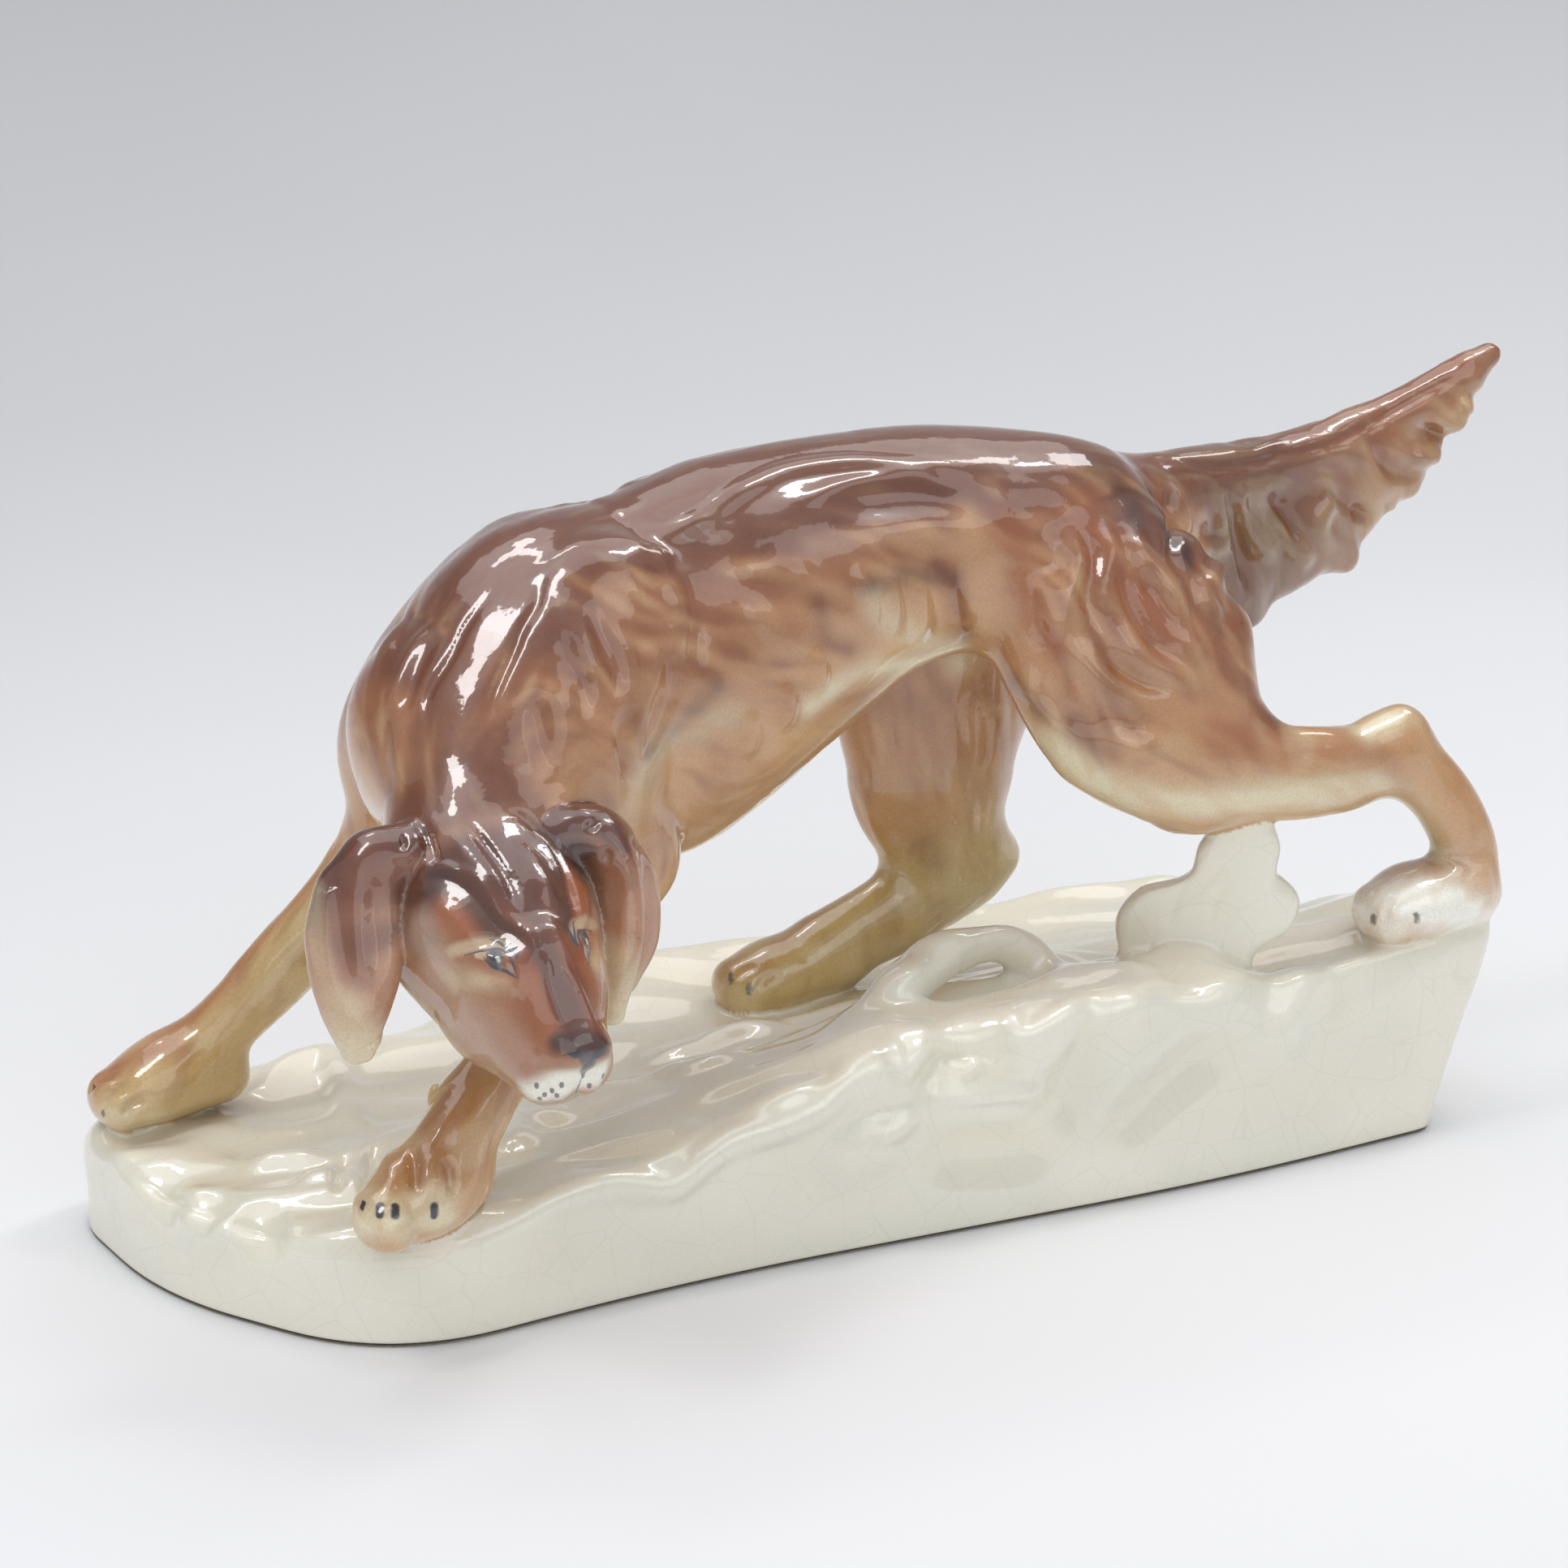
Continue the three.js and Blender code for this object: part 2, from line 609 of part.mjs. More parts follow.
const figurine = new THREE.Group();
function addPiece(name, solid, color) {
  const { vertProperties, triVerts } = solid.getMesh();
  const geometry = new THREE.BufferGeometry();
  geometry.setAttribute('position', new THREE.BufferAttribute(vertProperties, 3));
  geometry.setIndex(new THREE.BufferAttribute(triVerts, 1));
  geometry.computeVertexNormals();
  const glaze = new THREE.MeshStandardMaterial({ color, roughness: 0.12, metalness: 0 });
  const piece = new THREE.Mesh(geometry, glaze);
  piece.name = name;
  figurine.add(piece);
}

// Glaze colours
const ivory = 0xe9e3cf;
const darkBrown = 0x54281a;
const midBrown = 0x8a5238;
const paleBrown = 0xb58a66;

// Plinth, hollow underneath as it leaves the mould
const plinth = standOnTable(skin(plinthForm, facet.plinth));
const hollow = skin([rock(plinthWall, plinthRoof, rimRounding)], facet.hollow);
addPiece('base', plinth.subtract(hollow), ivory);

// What stands on the plinth is cut to fit it
const plinthCut = skin(plinthForm, facet.plinth, lutingGap);
const seatedOnPlinth = (solid) => solid.subtract(plinthCut);

// Dog
const leftHindForm = [leftHaunch, leftGaskin, leftHock, leftCannon, leftHindpaw];
const limbForms = {
  left_foreleg: [leftShoulder, leftForearm, leftForepaw],
  right_foreleg: [rightShoulder, rightForearm, rightForepaw],
  left_hind_leg: leftHindForm,
  right_hind_leg: [rightHaunch, rightShank, rightHock, rightCannon, rightHindpaw],
};
const trunkForm = [
  trunk, brisket, neck, leftShoulder, rightShoulder, leftForearm, rightForearm,
  leftHaunch, rightHaunch, leftGaskin, rightShank, tailBone, tailFeather,
];
let torso = skin(trunkForm, facet.trunk);
for (const seam of Object.values(seams)) torso = torso.subtract(limbBlock(seam, lutingGap));
addPiece('torso', torso.subtract(skin(headForm.slice(1), facet.head, lutingGap)), midBrown);

const headSide = limbBlock({ ...seams.head, reach: 90 }, 0);
addPiece('head', skin(headForm, facet.head).intersect(headSide), darkBrown);
const besideHead = skin(headForm, facet.head, lutingGap);
const besideTorso = skin(trunkForm, facet.trunk, lutingGap);
addPiece('right_ear', skin([rightEar], facet.ear).subtract(besideHead), midBrown);
addPiece('left_ear', skin(leftEar, facet.ear).subtract(besideHead).subtract(besideTorso), midBrown);
for (const [name, form] of Object.entries(limbForms)) {
  const limb = skin(form, facet.leg).intersect(limbBlock(seams[name], 0));
  addPiece(name, seatedOnPlinth(limb).subtract(besideHead), paleBrown);
}
const tail = skin([trunk, tailBone, tailFeather], facet.tail).intersect(limbBlock(seams.tail, 0));
addPiece('tail', tail, midBrown);

// Plants
const besideArch = skin([rootArch], facet.plant, lutingGap);
const besideLeg = skin(leftHindForm, facet.leg, lutingGap);
const besideLeaf = skin([leafBlade], facet.plant, lutingGap);
addPiece('root_arch', seatedOnPlinth(skin([rootArch], facet.plant)), ivory);
const leaf = seatedOnPlinth(skin([leafBlade], facet.plant));
addPiece('leaf_prop', leaf.subtract(besideLeg).subtract(besideArch), ivory);
addPiece('ground_leaf', seatedOnPlinth(skin([lyingLeaf], facet.plant)).subtract(besideLeaf), ivory);

// The origin lies on the table, under the middle of the whole figurine
const extent = new THREE.Box3().setFromObject(figurine);
const middle = extent.getCenter(new THREE.Vector3());
figurine.position.set(-middle.x, -middle.y, 0);

export default figurine;
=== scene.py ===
import math
from concurrent.futures import ThreadPoolExecutor

import bpy
import numpy as np
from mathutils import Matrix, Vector


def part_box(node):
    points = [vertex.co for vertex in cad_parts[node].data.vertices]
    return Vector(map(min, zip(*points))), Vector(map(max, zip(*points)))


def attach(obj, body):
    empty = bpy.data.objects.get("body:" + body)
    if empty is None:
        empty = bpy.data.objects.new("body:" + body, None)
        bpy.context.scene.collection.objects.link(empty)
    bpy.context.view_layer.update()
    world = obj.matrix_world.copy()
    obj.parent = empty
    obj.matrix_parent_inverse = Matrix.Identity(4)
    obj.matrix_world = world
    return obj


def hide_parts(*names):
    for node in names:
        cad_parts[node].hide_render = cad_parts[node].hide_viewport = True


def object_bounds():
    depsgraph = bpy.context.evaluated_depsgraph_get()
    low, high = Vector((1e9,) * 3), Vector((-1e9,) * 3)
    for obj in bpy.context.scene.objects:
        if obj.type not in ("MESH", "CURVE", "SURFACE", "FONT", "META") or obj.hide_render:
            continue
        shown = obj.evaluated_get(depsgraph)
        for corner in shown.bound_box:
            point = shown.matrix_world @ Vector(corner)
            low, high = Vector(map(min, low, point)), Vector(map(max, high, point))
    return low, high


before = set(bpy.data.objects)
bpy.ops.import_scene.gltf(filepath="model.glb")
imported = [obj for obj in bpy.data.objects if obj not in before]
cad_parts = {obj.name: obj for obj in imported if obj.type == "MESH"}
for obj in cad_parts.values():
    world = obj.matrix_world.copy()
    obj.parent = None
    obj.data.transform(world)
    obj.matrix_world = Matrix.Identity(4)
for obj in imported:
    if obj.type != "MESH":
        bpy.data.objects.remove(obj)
cad_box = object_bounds()

# Lengths below are millimetres in a frame whose origin lies under the plinth.
# The dog faces -X, its left side is -Y, and Z is up.
plinth_low_corner = np.array([-158.03, -65.15, 0.0])
shift = np.array(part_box("base")[0]) * 1000 - plinth_low_corner

cell = 0.8


def unit(v):
    v = np.asarray(v, float)
    return v / (np.linalg.norm(v, axis=-1, keepdims=True) + 1e-12)


def smoothstep(x, low, high):
    t = np.clip((x - low) / (high - low), 0, 1)
    return t * t * (3 - 2 * t)


def soft_min(a, b, blend):
    h = np.maximum(blend - np.abs(a - b), 0) / blend
    return np.minimum(a, b) - h * h * blend / 4


def soft_max(a, b, blend):
    return -soft_min(-a, -b, blend)


def spline(knots, steps):
    """Centripetal Catmull-Rom curve through the knots."""
    p = np.asarray(knots, float)
    if len(p) == 1:
        return np.vstack([p, p])
    p = np.vstack([2 * p[0] - p[1], p, 2 * p[-1] - p[-2]])
    out = []
    for i in range(1, len(p) - 2):
        p0, p1, p2, p3 = p[i - 1:i + 3]
        d0, d1, d2 = (max(np.linalg.norm(b - a), 1e-8) ** 0.5 for a, b in ((p0, p1), (p1, p2), (p2, p3)))
        if d1 < 1e-4:
            d1 = 1.0
        d0 = d1 if d0 < 1e-4 else d0
        d2 = d1 if d2 < 1e-4 else d2
        m1 = ((p1 - p0) / d0 - (p2 - p0) / (d0 + d1) + (p2 - p1) / d1) * d1
        m2 = ((p2 - p1) / d1 - (p3 - p1) / (d1 + d2) + (p3 - p2) / d2) * d1
        t = (np.arange(steps) / steps)[:, None]
        out.append(p1 + m1 * t + (3 * (p2 - p1) - 2 * m1 - m2) * t**2 + (2 * (p1 - p2) + m1 + m2) * t**3)
    out.append(p[-2][None])
    return np.vstack(out)


class Mass:
    """A run of elliptical sections [x, y, z, a, b] along a smooth curve."""

    def __init__(self, sections, across=(0, 1, 0), blend=6, carve=False, steps=9, hair=(0, 0, -1), shag=0.0):
        self.points = spline([s[:3] for s in sections], steps)
        self.sizes = spline([(s[3], s[4] if len(s) > 4 else s[3]) for s in sections], steps)
        self.across = unit(across)
        self.blend = blend
        self.carve = carve
        self.hair = unit(hair)
        self.shag = shag
        reach = self.sizes.max() + blend + 6
        self.low = self.points.min(0) - reach
        self.high = self.points.max(0) + reach

    def distance(self, p):
        a, u = self.points[:-1], np.diff(self.points, axis=0)
        square = np.maximum((u * u).sum(1), 1e-9)
        along = p @ u.T - (a * u).sum(1)
        t = np.clip(along / square, 0, 1)
        d2 = (p * p).sum(1)[:, None] - 2 * (p @ a.T) + (a * a).sum(1) + t * (t * square - 2 * along)
        seg = d2.argmin(1)
        part = t[np.arange(len(p)), seg]
        near = d2[np.arange(len(p)), seg]
        a, b = self.points[seg], self.points[seg + 1]
        size = self.sizes[seg] + (self.sizes[seg + 1] - self.sizes[seg]) * part[:, None]
        d = p - a - (b - a) * part[:, None]
        s2 = (d @ self.across) ** 2
        rest = np.maximum(0, near - s2)
        k = np.sqrt(s2 / size[:, 0] ** 2 + rest / size[:, 1] ** 2)
        g = np.sqrt(s2 / size[:, 0] ** 4 + rest / size[:, 1] ** 4)
        return np.where(g > 1e-9, k * (k - 1) / np.maximum(g, 1e-9), -size.min(1))


class Form:
    """Anything with a box and a distance of its own."""

    def __init__(self, low, high, distance, blend=3, hair=(0, 0, -1), shag=0.0):
        self.low, self.high = np.asarray(low, float), np.asarray(high, float)
        self.distance = distance
        self.blend = blend
        self.carve = False
        self.hair = unit(hair)
        self.shag = shag


def field(forms, p, far=30.0):
    """Distance from the points to the union of the forms, below zero inside it."""
    out = np.full(len(p), far)
    for m in forms:
        near = np.flatnonzero(np.all((p > m.low) & (p < m.high), axis=1))
        if len(near) == 0:
            continue
        d = m.distance(p[near])
        out[near] = soft_max(out[near], -d, m.blend) if m.carve else soft_min(out[near], d, m.blend)
    return out


# Plinth
plinth_length = 307
plinth_width = 134
plinth_wall = 7
plinth_roof = 8
head_end_height = 25
rim_height = 52
far_height = 33
far_lip = 5
tail_end_lean = 19
rim_rounding = 7

head_end = -plinth_length / 2 - 4.5
tail_foot = head_end + plinth_length
near_tail = -plinth_width / 2 + 1.5
near_head = near_tail + 21
far_side = near_tail + plinth_width

outline_corners = [
    (head_end, far_side, 22),
    (head_end, 11, 22),
    (head_end + 29, near_head, 28),
    (head_end + 104, near_head, 40),
    (tail_foot - 66, near_tail + 2, 34),
    (tail_foot, near_tail, 7),
    (tail_foot, far_side - 16, 22),
    (tail_foot - 132, far_side - 11, 40),
    (head_end + 104, far_side + 4, 40),
]


def rounded_polygon(corners, steps):
    out = []
    for i, (x, y, rounding) in enumerate(corners):
        here = np.array([x, y], float)
        before = np.array(corners[i - 1][:2])
        after = np.array(corners[(i + 1) % len(corners)][:2])
        a = here + unit(before - here) * rounding
        b = here + unit(after - here) * rounding
        for t in np.linspace(0, 1, steps + 1):
            out.append((1 - t) ** 2 * a + 2 * t * (1 - t) * here + t * t * b)
    return np.array(out)


def distance_to_outline(points, x, y):
    near = np.full(len(x), np.inf)
    inside = np.zeros(len(x), bool)
    for a, b in zip(np.roll(points, 1, axis=0), points):
        u = b - a
        t = np.clip(((x - a[0]) * u[0] + (y - a[1]) * u[1]) / max(u @ u, 1e-9), 0, 1)
        near = np.minimum(near, np.hypot(x - a[0] - u[0] * t, y - a[1] - u[1] * t))
        if a[1] != b[1]:
            inside ^= ((a[1] > y) != (b[1] > y)) & (x < a[0] + u[0] * (y - a[1]) / u[1])
    return np.where(inside, -near, near)


class PlanDistance:
    """Distance in a plane to a closed outline, sampled once on a grid and read between its nodes."""

    def __init__(self, points, margin, step):
        self.low = points.min(0) - margin
        self.step = step
        count = np.ceil((points.max(0) + margin - self.low) / step).astype(int) + 1
        x, y = np.meshgrid(*[self.low[i] + np.arange(count[i]) * step for i in range(2)], indexing="ij")
        self.grid = distance_to_outline(points, x.ravel(), y.ravel()).reshape(count)

    def __call__(self, x, y):
        q = [(v - low) / self.step for v, low in zip((x, y), self.low)]
        q = [np.clip(v, 0, n - 1.001) for v, n in zip(q, self.grid.shape)]
        i, j = (v.astype(int) for v in q)
        u, v = q[0] - i, q[1] - j
        g = self.grid
        return (g[i, j] * (1 - u) + g[i + 1, j] * u) * (1 - v) + (g[i, j + 1] * (1 - u) + g[i + 1, j + 1] * u) * v


outline = PlanDistance(rounded_polygon(outline_corners, 10), 40, 1.0)

near_rim = np.array([
    (0, head_end_height - 2),
    (50, head_end_height + 2),
    (85, head_end_height + 6),
    (112, head_end_height + 10),
    (134, rim_height - 10),
    (162, rim_height - 3),
    (216, rim_height + 1),
    (240, rim_height - 1),
    (262, rim_height - 7),
    (286, rim_height - 4),
    (316, rim_height + 1),
])
far_rim = np.array([
    (0, head_end_height),
    (90, head_end_height + 3),
    (160, far_height),
    (210, far_height),
    (310, far_height - 3),
])


def profile(places, x):
    n = np.clip(np.searchsorted(places[:, 0], x, side="right"), 1, len(places) - 1)
    (x0, z0), (x1, z1) = places[n - 1].T, places[n].T
    return z0 + (z1 - z0) * smoothstep(x, x0, x1)


def rock_level(x, y):
    rim = smoothstep(-y, -24, 44)
    lip = far_lip * smoothstep(y, 28, 58) * smoothstep(x, head_end + 70, head_end + 150)
    return (profile(far_rim, x - head_end) + lip) * (1 - rim) + profile(near_rim, x - head_end) * rim


def on_rock(x, y, height):
    return (x, y, float(rock_level(np.array([x]), np.array([y]))[0]) + height)


def rock(wall, roof):
    def distance(p):
        x, y, z = p.T
        lean = tail_end_lean * np.maximum(0, z) / rim_height
        foot = x - lean * smoothstep(x, tail_foot - 60, tail_foot)
        side = outline(foot, y) + wall
        return soft_max(side, (z - rock_level(x, y) + roof) * 0.9, rim_rounding)

    low = (head_end - 18, near_tail - 18, -24)
    high = (tail_foot + tail_end_lean + 22, far_side + 22, rim_height + 24)
    return Form(low, high, distance, blend=0.01)


bank = Mass(
    [
        (*on_rock(-62, -34, -13), 7),
        (*on_rock(-45, -31, -10), 7),
        (*on_rock(-25, -30, -11), 7),
        (*on_rock(-10, -30, -9), 7),
        (*on_rock(9, -30, -4), 7),
    ],
    blend=10,
)
rim_root = Mass(
    [
        (*on_rock(18, -52, -10), 5),
        (*on_rock(41, -53, -8), 5),
        (*on_rock(57, -50, -6), 5),
        (*on_rock(71, -46, -3), 5),
        (*on_rock(74, -44, -2), 4),
    ],
)
pocket = Mass([(*on_rock(22, -24, 3.5), 8), (*on_rock(36, -28, 1), 9), (*on_rock(45, -30, 1), 7)], carve=True)
wall_crease = Mass(
    [(72, near_tail - 1.5, 38, 5), (51, near_tail - 2.5, 26, 5), (42, near_tail - 2.5, 17, 4)],
    blend=8,
    carve=True,
)
rim_scoop = Mass(
    [
        (*on_rock(97, near_tail - 9.5, 0), 12),
        (*on_rock(112, near_tail - 10.5, -2.5), 13),
        (*on_rock(128, near_tail - 11, -1), 13),
        (*on_rock(141, near_tail - 12.5, 4), 12),
    ],
    carve=True,
)
root_arch = Mass([
    (*on_rock(5, -31, -6.5), 7),
    (*on_rock(13, -28, 3), 6),
    (*on_rock(23, -25, 7.5), 5),
    (*on_rock(35, -22, 9), 5),
    (*on_rock(46, -21, 8), 5),
    (*on_rock(55, -23, 1.5), 5.5),
    (*on_rock(60, -27, -6.5), 6),
])

leaf_foot = np.array([92, -43.0])
leaf_across = np.array([0.85, -0.53])
leaf_ground = on_rock(*leaf_foot, 0)[2]
leaf_half_thickness = 3.2
leaf_edge = [
    (-20, -6.5), (-22, 8.5), (-16.5, 19), (-5, 24), (-1.5, 31.5), (5, 36), (13, 36.5), (17, 29.5),
    (16.5, 21.5), (22.5, 15.5), (20.5, 7.5), (13, 2.5), (8, -6.5), (-20, -6.5),
]
leaf_outline = PlanDistance(spline(leaf_edge, 6) + (0, leaf_ground), 20, 0.5)


def leaf_distance(p):
    dx, dy = p[:, 0] - leaf_foot[0], p[:, 1] - leaf_foot[1]
    along = dx * leaf_across[0] + dy * leaf_across[1]
    curl = 0.004 * along**2 - 0.05 * (p[:, 2] - 60)
    through = np.abs(dy * leaf_across[0] - dx * leaf_across[1] - curl) - leaf_half_thickness
    return soft_max(leaf_outline(along, p[:, 2]), through, leaf_half_thickness)


leaf_prop = Form((62, -66, leaf_ground - 15), (122, -20, leaf_ground + 46), leaf_distance)
ground_leaf = Mass(
    [(*on_rock(79, -44, 0), 5, 3), (*on_rock(90, -48, 0), 7.5, 3), (*on_rock(102, -52, -1.5), 4, 2.5)],
    across=(0.45, 0.89, 0),
    blend=3,
)

# Dog
trunk = Mass(
    [
        (-84, 4, 124, 22, 25),
        (-66, 3, 130, 30, 36),
        (-40, 2, 129, 33, 42),
        (-10, 0, 141, 32, 38),
        (22, -2, 150, 27, 29.5),
        (50, -4, 151, 26, 26),
        (80, -5, 147, 22, 23),
        (98, -4, 146, 13, 16),
    ],
    hair=(1, 0, -0.4),
    shag=0.08,
    steps=16,
)
brisket = Mass(
    [(-84, 4, 109, 15, 16), (-60, 3, 103, 16, 16), (-34, 1, 105, 13, 14)], blend=12, hair=(0.6, 0, -0.8), shag=0.5
)
neck = Mass(
    [(-56, 0, 138, 29, 28), (-72, -7, 130, 28, 27), (-86, -18, 115, 26, 23), (-95, -28, 103, 20, 19)],
    across=(0.76, -0.65, 0),
    blend=10,
    hair=(0.5, 0.5, 0.6),
    shag=0.06,
    steps=16,
)
left_shoulder = Mass(
    [(-58, -16, 152, 11, 15), (-68, -24, 130, 13, 18), (-66, -24, 110, 12, 15), (-57, -21, 95, 9, 12)],
    blend=8,
    hair=(0.25, 0, -1),
    shag=0.2,
)
right_shoulder = Mass(
    [(-58, 18, 150, 11, 15), (-75, 22, 133, 14, 17), (-85, 27, 116, 14, 16), (-82, 33, 94, 10, 13)],
    blend=8,
    hair=(0.25, 0, -1),
    shag=0.2,
)
left_forearm = Mass(
    [
        (-56, -21, 95, 9, 12),
        (-70, -22, 74, 8, 9),
        (-90, -28, 57, 7.5, 8),
        (*on_rock(-106, -35, 18), 8.5),
        (*on_rock(-113, -37, 10), 10, 9),
    ],
    hair=(-0.7, 0, -0.7),
    shag=0.3,
)
right_forearm = Mass(
    [
        (-82, 33, 94, 9.5, 13),
        (-95, 39, 76, 8.5, 10),
        (-110, 44, 60, 7.5, 9),
        (*on_rock(-126, 49, 18.5), 8, 7.5),
        (*on_rock(-135, 51, 12.5), 9, 8),
    ],
    hair=(-0.7, 0, -0.7),
    shag=0.3,
)
left_forepaw = Mass(
    [(*on_rock(-106, -34, 8), 10, 8), (*on_rock(-118, -38, 7.5), 12.5, 9.5), (*on_rock(-127, -41, 7), 11, 7.5)],
    across=(0.3, 0.95, 0),
    blend=5,
)
right_forepaw = Mass(
    [(*on_rock(-126, 50, 9), 9, 8), (*on_rock(-140, 51, 9.5), 11, 9.5), (*on_rock(-149, 52, 7), 10, 7)], blend=5
)
left_haunch = Mass(
    [(66, -14, 149, 14, 22.5), (70, -26, 136, 15, 30), (78, -37, 117, 13, 31), (88, -44, 102, 11, 20)],
    blend=9,
    hair=(0.45, 0, -1),
    shag=0.25,
    steps=16,
)
right_haunch = Mass(
    [(66, 10, 147.5, 16, 22.5), (62, 19, 128, 16, 30), (58, 22, 106, 14, 30), (56, 22, 86, 11, 22)],
    blend=9,
    hair=(0.3, 0, -1),
    shag=0.25,
    steps=16,
)
left_gaskin = Mass(
    [(76, -42, 104, 11, 16), (100, -47, 96, 10, 12), (124, -50, 93, 9, 11), (142, -50, 94, 7, 9)],
    hair=(1, 0, -0.15),
    shag=0.35,
)
left_hock = Mass([(138, -50, 99, 5), (144, -50, 101.5, 4)])
left_cannon = Mass([
    (144, -50, 94, 7, 9),
    (157, -53, 80, 7.5, 8),
    (*on_rock(163, -55, 13), 7.5, 8),
    (*on_rock(161, -56, 6), 9),
])
left_hindpaw = Mass(
    [(*on_rock(161, -56, 4.5), 10, 8), (*on_rock(148, -55, 5.5), 12.5, 9), (*on_rock(138, -55, 6.5), 10, 7.5)],
    blend=5,
)
right_shank = Mass([(56, 22, 88, 11, 21), (58, 22, 74, 10, 18), (62, 22, 62, 9, 14)], blend=8, shag=0.3)
right_hock = Mass([(70, 21, 62, 6, 7), (76, 21, 60, 5)])
right_cannon = Mass([(64, 22, 60, 9, 13), (*on_rock(46, 22, 17), 9, 11), (*on_rock(26, 23, 11), 9)], blend=7)
right_hindpaw = Mass(
    [(*on_rock(28, 23, 8), 9, 8), (*on_rock(12, 24, 7), 11, 8.5), (*on_rock(3, 25, 5), 9.5, 7)], blend=5
)
tail_bone = Mass(
    [(84, -4, 152, 12, 13.5), (108, -3, 155, 9), (137, 0, 156, 7), (176, 0, 162, 5), (211, 0, 175.7, 3.4)],
    blend=5,
    hair=(1, 0, 0.1),
    shag=0.3,
)
tail_feather = Mass(
    [
        (102, -3, 145, 8, 14),
        (122, -1, 139, 7.5, 21.5),
        (144, 0, 140.5, 7, 19),
        (166, 0, 148.5, 6, 15.5),
        (188, 0, 160, 5, 11),
        (202, 0, 170, 4, 5),
    ],
    hair=(0.55, 0, -0.8),
    shag=0.8,
)

tail_tufts = [
    Mass([(120, -2, 132, 6, 9), (129, -2, 125, 5.4, 7), (134, -1, 120, 4.6, 4.8)], blend=5),
    Mass([(142, -1, 134, 5.4, 7), (149, -1, 129.5, 4.6, 4.8)], blend=5),
    Mass([(150, -1, 140, 5.4, 8), (159, -1, 133, 4.8, 6), (165, -1, 129, 4.2, 4.2)], blend=5),
    Mass([(172, -1, 154, 4.8, 6.5), (180, -1, 148.5, 4.2, 5), (185, -1, 146, 3.6, 3.6)], blend=5),
]

# The head has a frame of its own between the eyes: forwards, to the dog's left, and upwards
between_eyes = np.array([-100.5, -58.5, 85.5])
forwards = unit((-0.05, -0.866, -0.497))
leftwards = unit((-forwards[1], forwards[0], 0))
upwards = np.cross(forwards, leftwards)


def on_head(f, l, u, *halves):
    return (*(between_eyes + f * forwards + l * leftwards + u * upwards), *halves)


skull = Mass(
    [on_head(-34, 0, 1, 18.5, 18), on_head(-17, 0, 1, 21.5, 19.5), on_head(0, 0, 0, 16.8, 17.5)],
    across=leftwards,
    blend=8,
    hair=-forwards,
    shag=0.15,
)
cheeks = Mass([on_head(-17, 0, -8, 21, 12), on_head(-4, 0, -8, 16.4, 12)], across=leftwards, blend=8)
face_turn = 0.09


def face_middle(f):
    """How far left the middle of the face lies, f forwards of the eyes."""
    return -1.2 + face_turn * f


muzzle_front = 25.2
muzzle_round = Mass(
    [
        on_head(2, face_middle(2), -3, 12.8, 15),
        on_head(12, face_middle(12), -2.5, 9.3, 12.6),
        on_head(21, face_middle(21), -2, 9.8, 12.2),
    ],
    across=leftwards,
    blend=8,
)


def muzzle_distance(p):
    """Blunt muzzle: the round one cut off square at the lips and slanted under the chin."""
    d = p - between_eyes
    f, u = d @ forwards, d @ upwards
    blunt = soft_max(muzzle_round.distance(p), f - muzzle_front - 0.12 * u, 6)
    return soft_max(blunt, 0.72 * f - 0.70 * u - 24.5, 5)


def bridge_distance(p):
    """Flat-topped bridge of the nose, from between the eyes to the nose pad."""
    d = p - between_eyes
    f, l, u = d @ forwards, d @ leftwards, d @ upwards
    crest = 16.6 - 0.5 * (f - 5)
    flank = np.abs(l - face_middle(f) - 0.4) - 3.0 - 0.5 * (crest - u)
    slab = soft_max(flank * 0.9, (u - crest) * 0.85, 1.3)
    return soft_max(soft_max(slab, crest - 8 - u, 2), np.abs(f - 11) - 13.5, 5)


muzzle = Form(muzzle_round.low, muzzle_round.high, muzzle_distance, blend=8, hair=-forwards)
bridge = Form(muzzle_round.low, muzzle_round.high, bridge_distance, blend=2.5, hair=-forwards)
nose = Mass(
    [on_head(20.5, face_middle(20), 6.4, 5.8, 2.6), on_head(23, face_middle(23), 5.6, 6.4, 3.2)],
    across=leftwards,
    blend=2.5,
)
upper_lips = [
    Mass(
        [
            on_head(14, face_middle(14) + side * 6.5, -5, 4, 5),
            on_head(20, face_middle(20) + side * 5.2, -4, 4.6, 5.2),
            on_head(22.5, face_middle(22) + side * 3.2, -3, 3.2, 4.6),
        ],
        across=leftwards,
        blend=2.5,
    )
    for side in (-1, 1)
]
chin = Mass([on_head(8, 0, -11, 8, 5), on_head(17.5, 0.4, -11, 6, 4.2)], across=leftwards, blend=4)
right_ear = Mass(
    [
        (-121, -30.5, 110, 7.5, 5),
        (-125, -31.8, 105, 10.2, 5.4),
        (-129, -35, 97, 10.8, 4.9),
        (-131.5, -39.3, 89, 10, 4.5),
        (-133.2, -42.3, 81, 7.4, 4),
        (-134, -44, 75.5, 4.6, 3.2),
        (-134.1, -44.4, 74, 2.6, 2.4),
    ],
    across=(0.83, -0.55, 0),
    blend=4,
)
right_ear_root = Mass([(-104, -34, 106, 8), (-113, -32, 109, 7.6), (-121, -30.5, 109, 6.4)], blend=5)
left_ear = Mass(
    [
        (-77, -45.5, 112, 8, 5),
        (-75.5, -47.5, 107, 11.2, 5.2),
        (-75, -50, 100, 12.2, 4.7),
        (-77, -54, 90, 11, 4.5),
        (-80, -57, 81, 7, 3.8),
        (-81, -58.5, 76, 4, 3),
    ],
    across=(0.05, -1, 0),
    blend=4,
)
left_ear_top = Mass([(-92, -38, 107, 7.6), (-85, -42, 110, 7.4), (-78, -45, 110, 6.4)], blend=5)
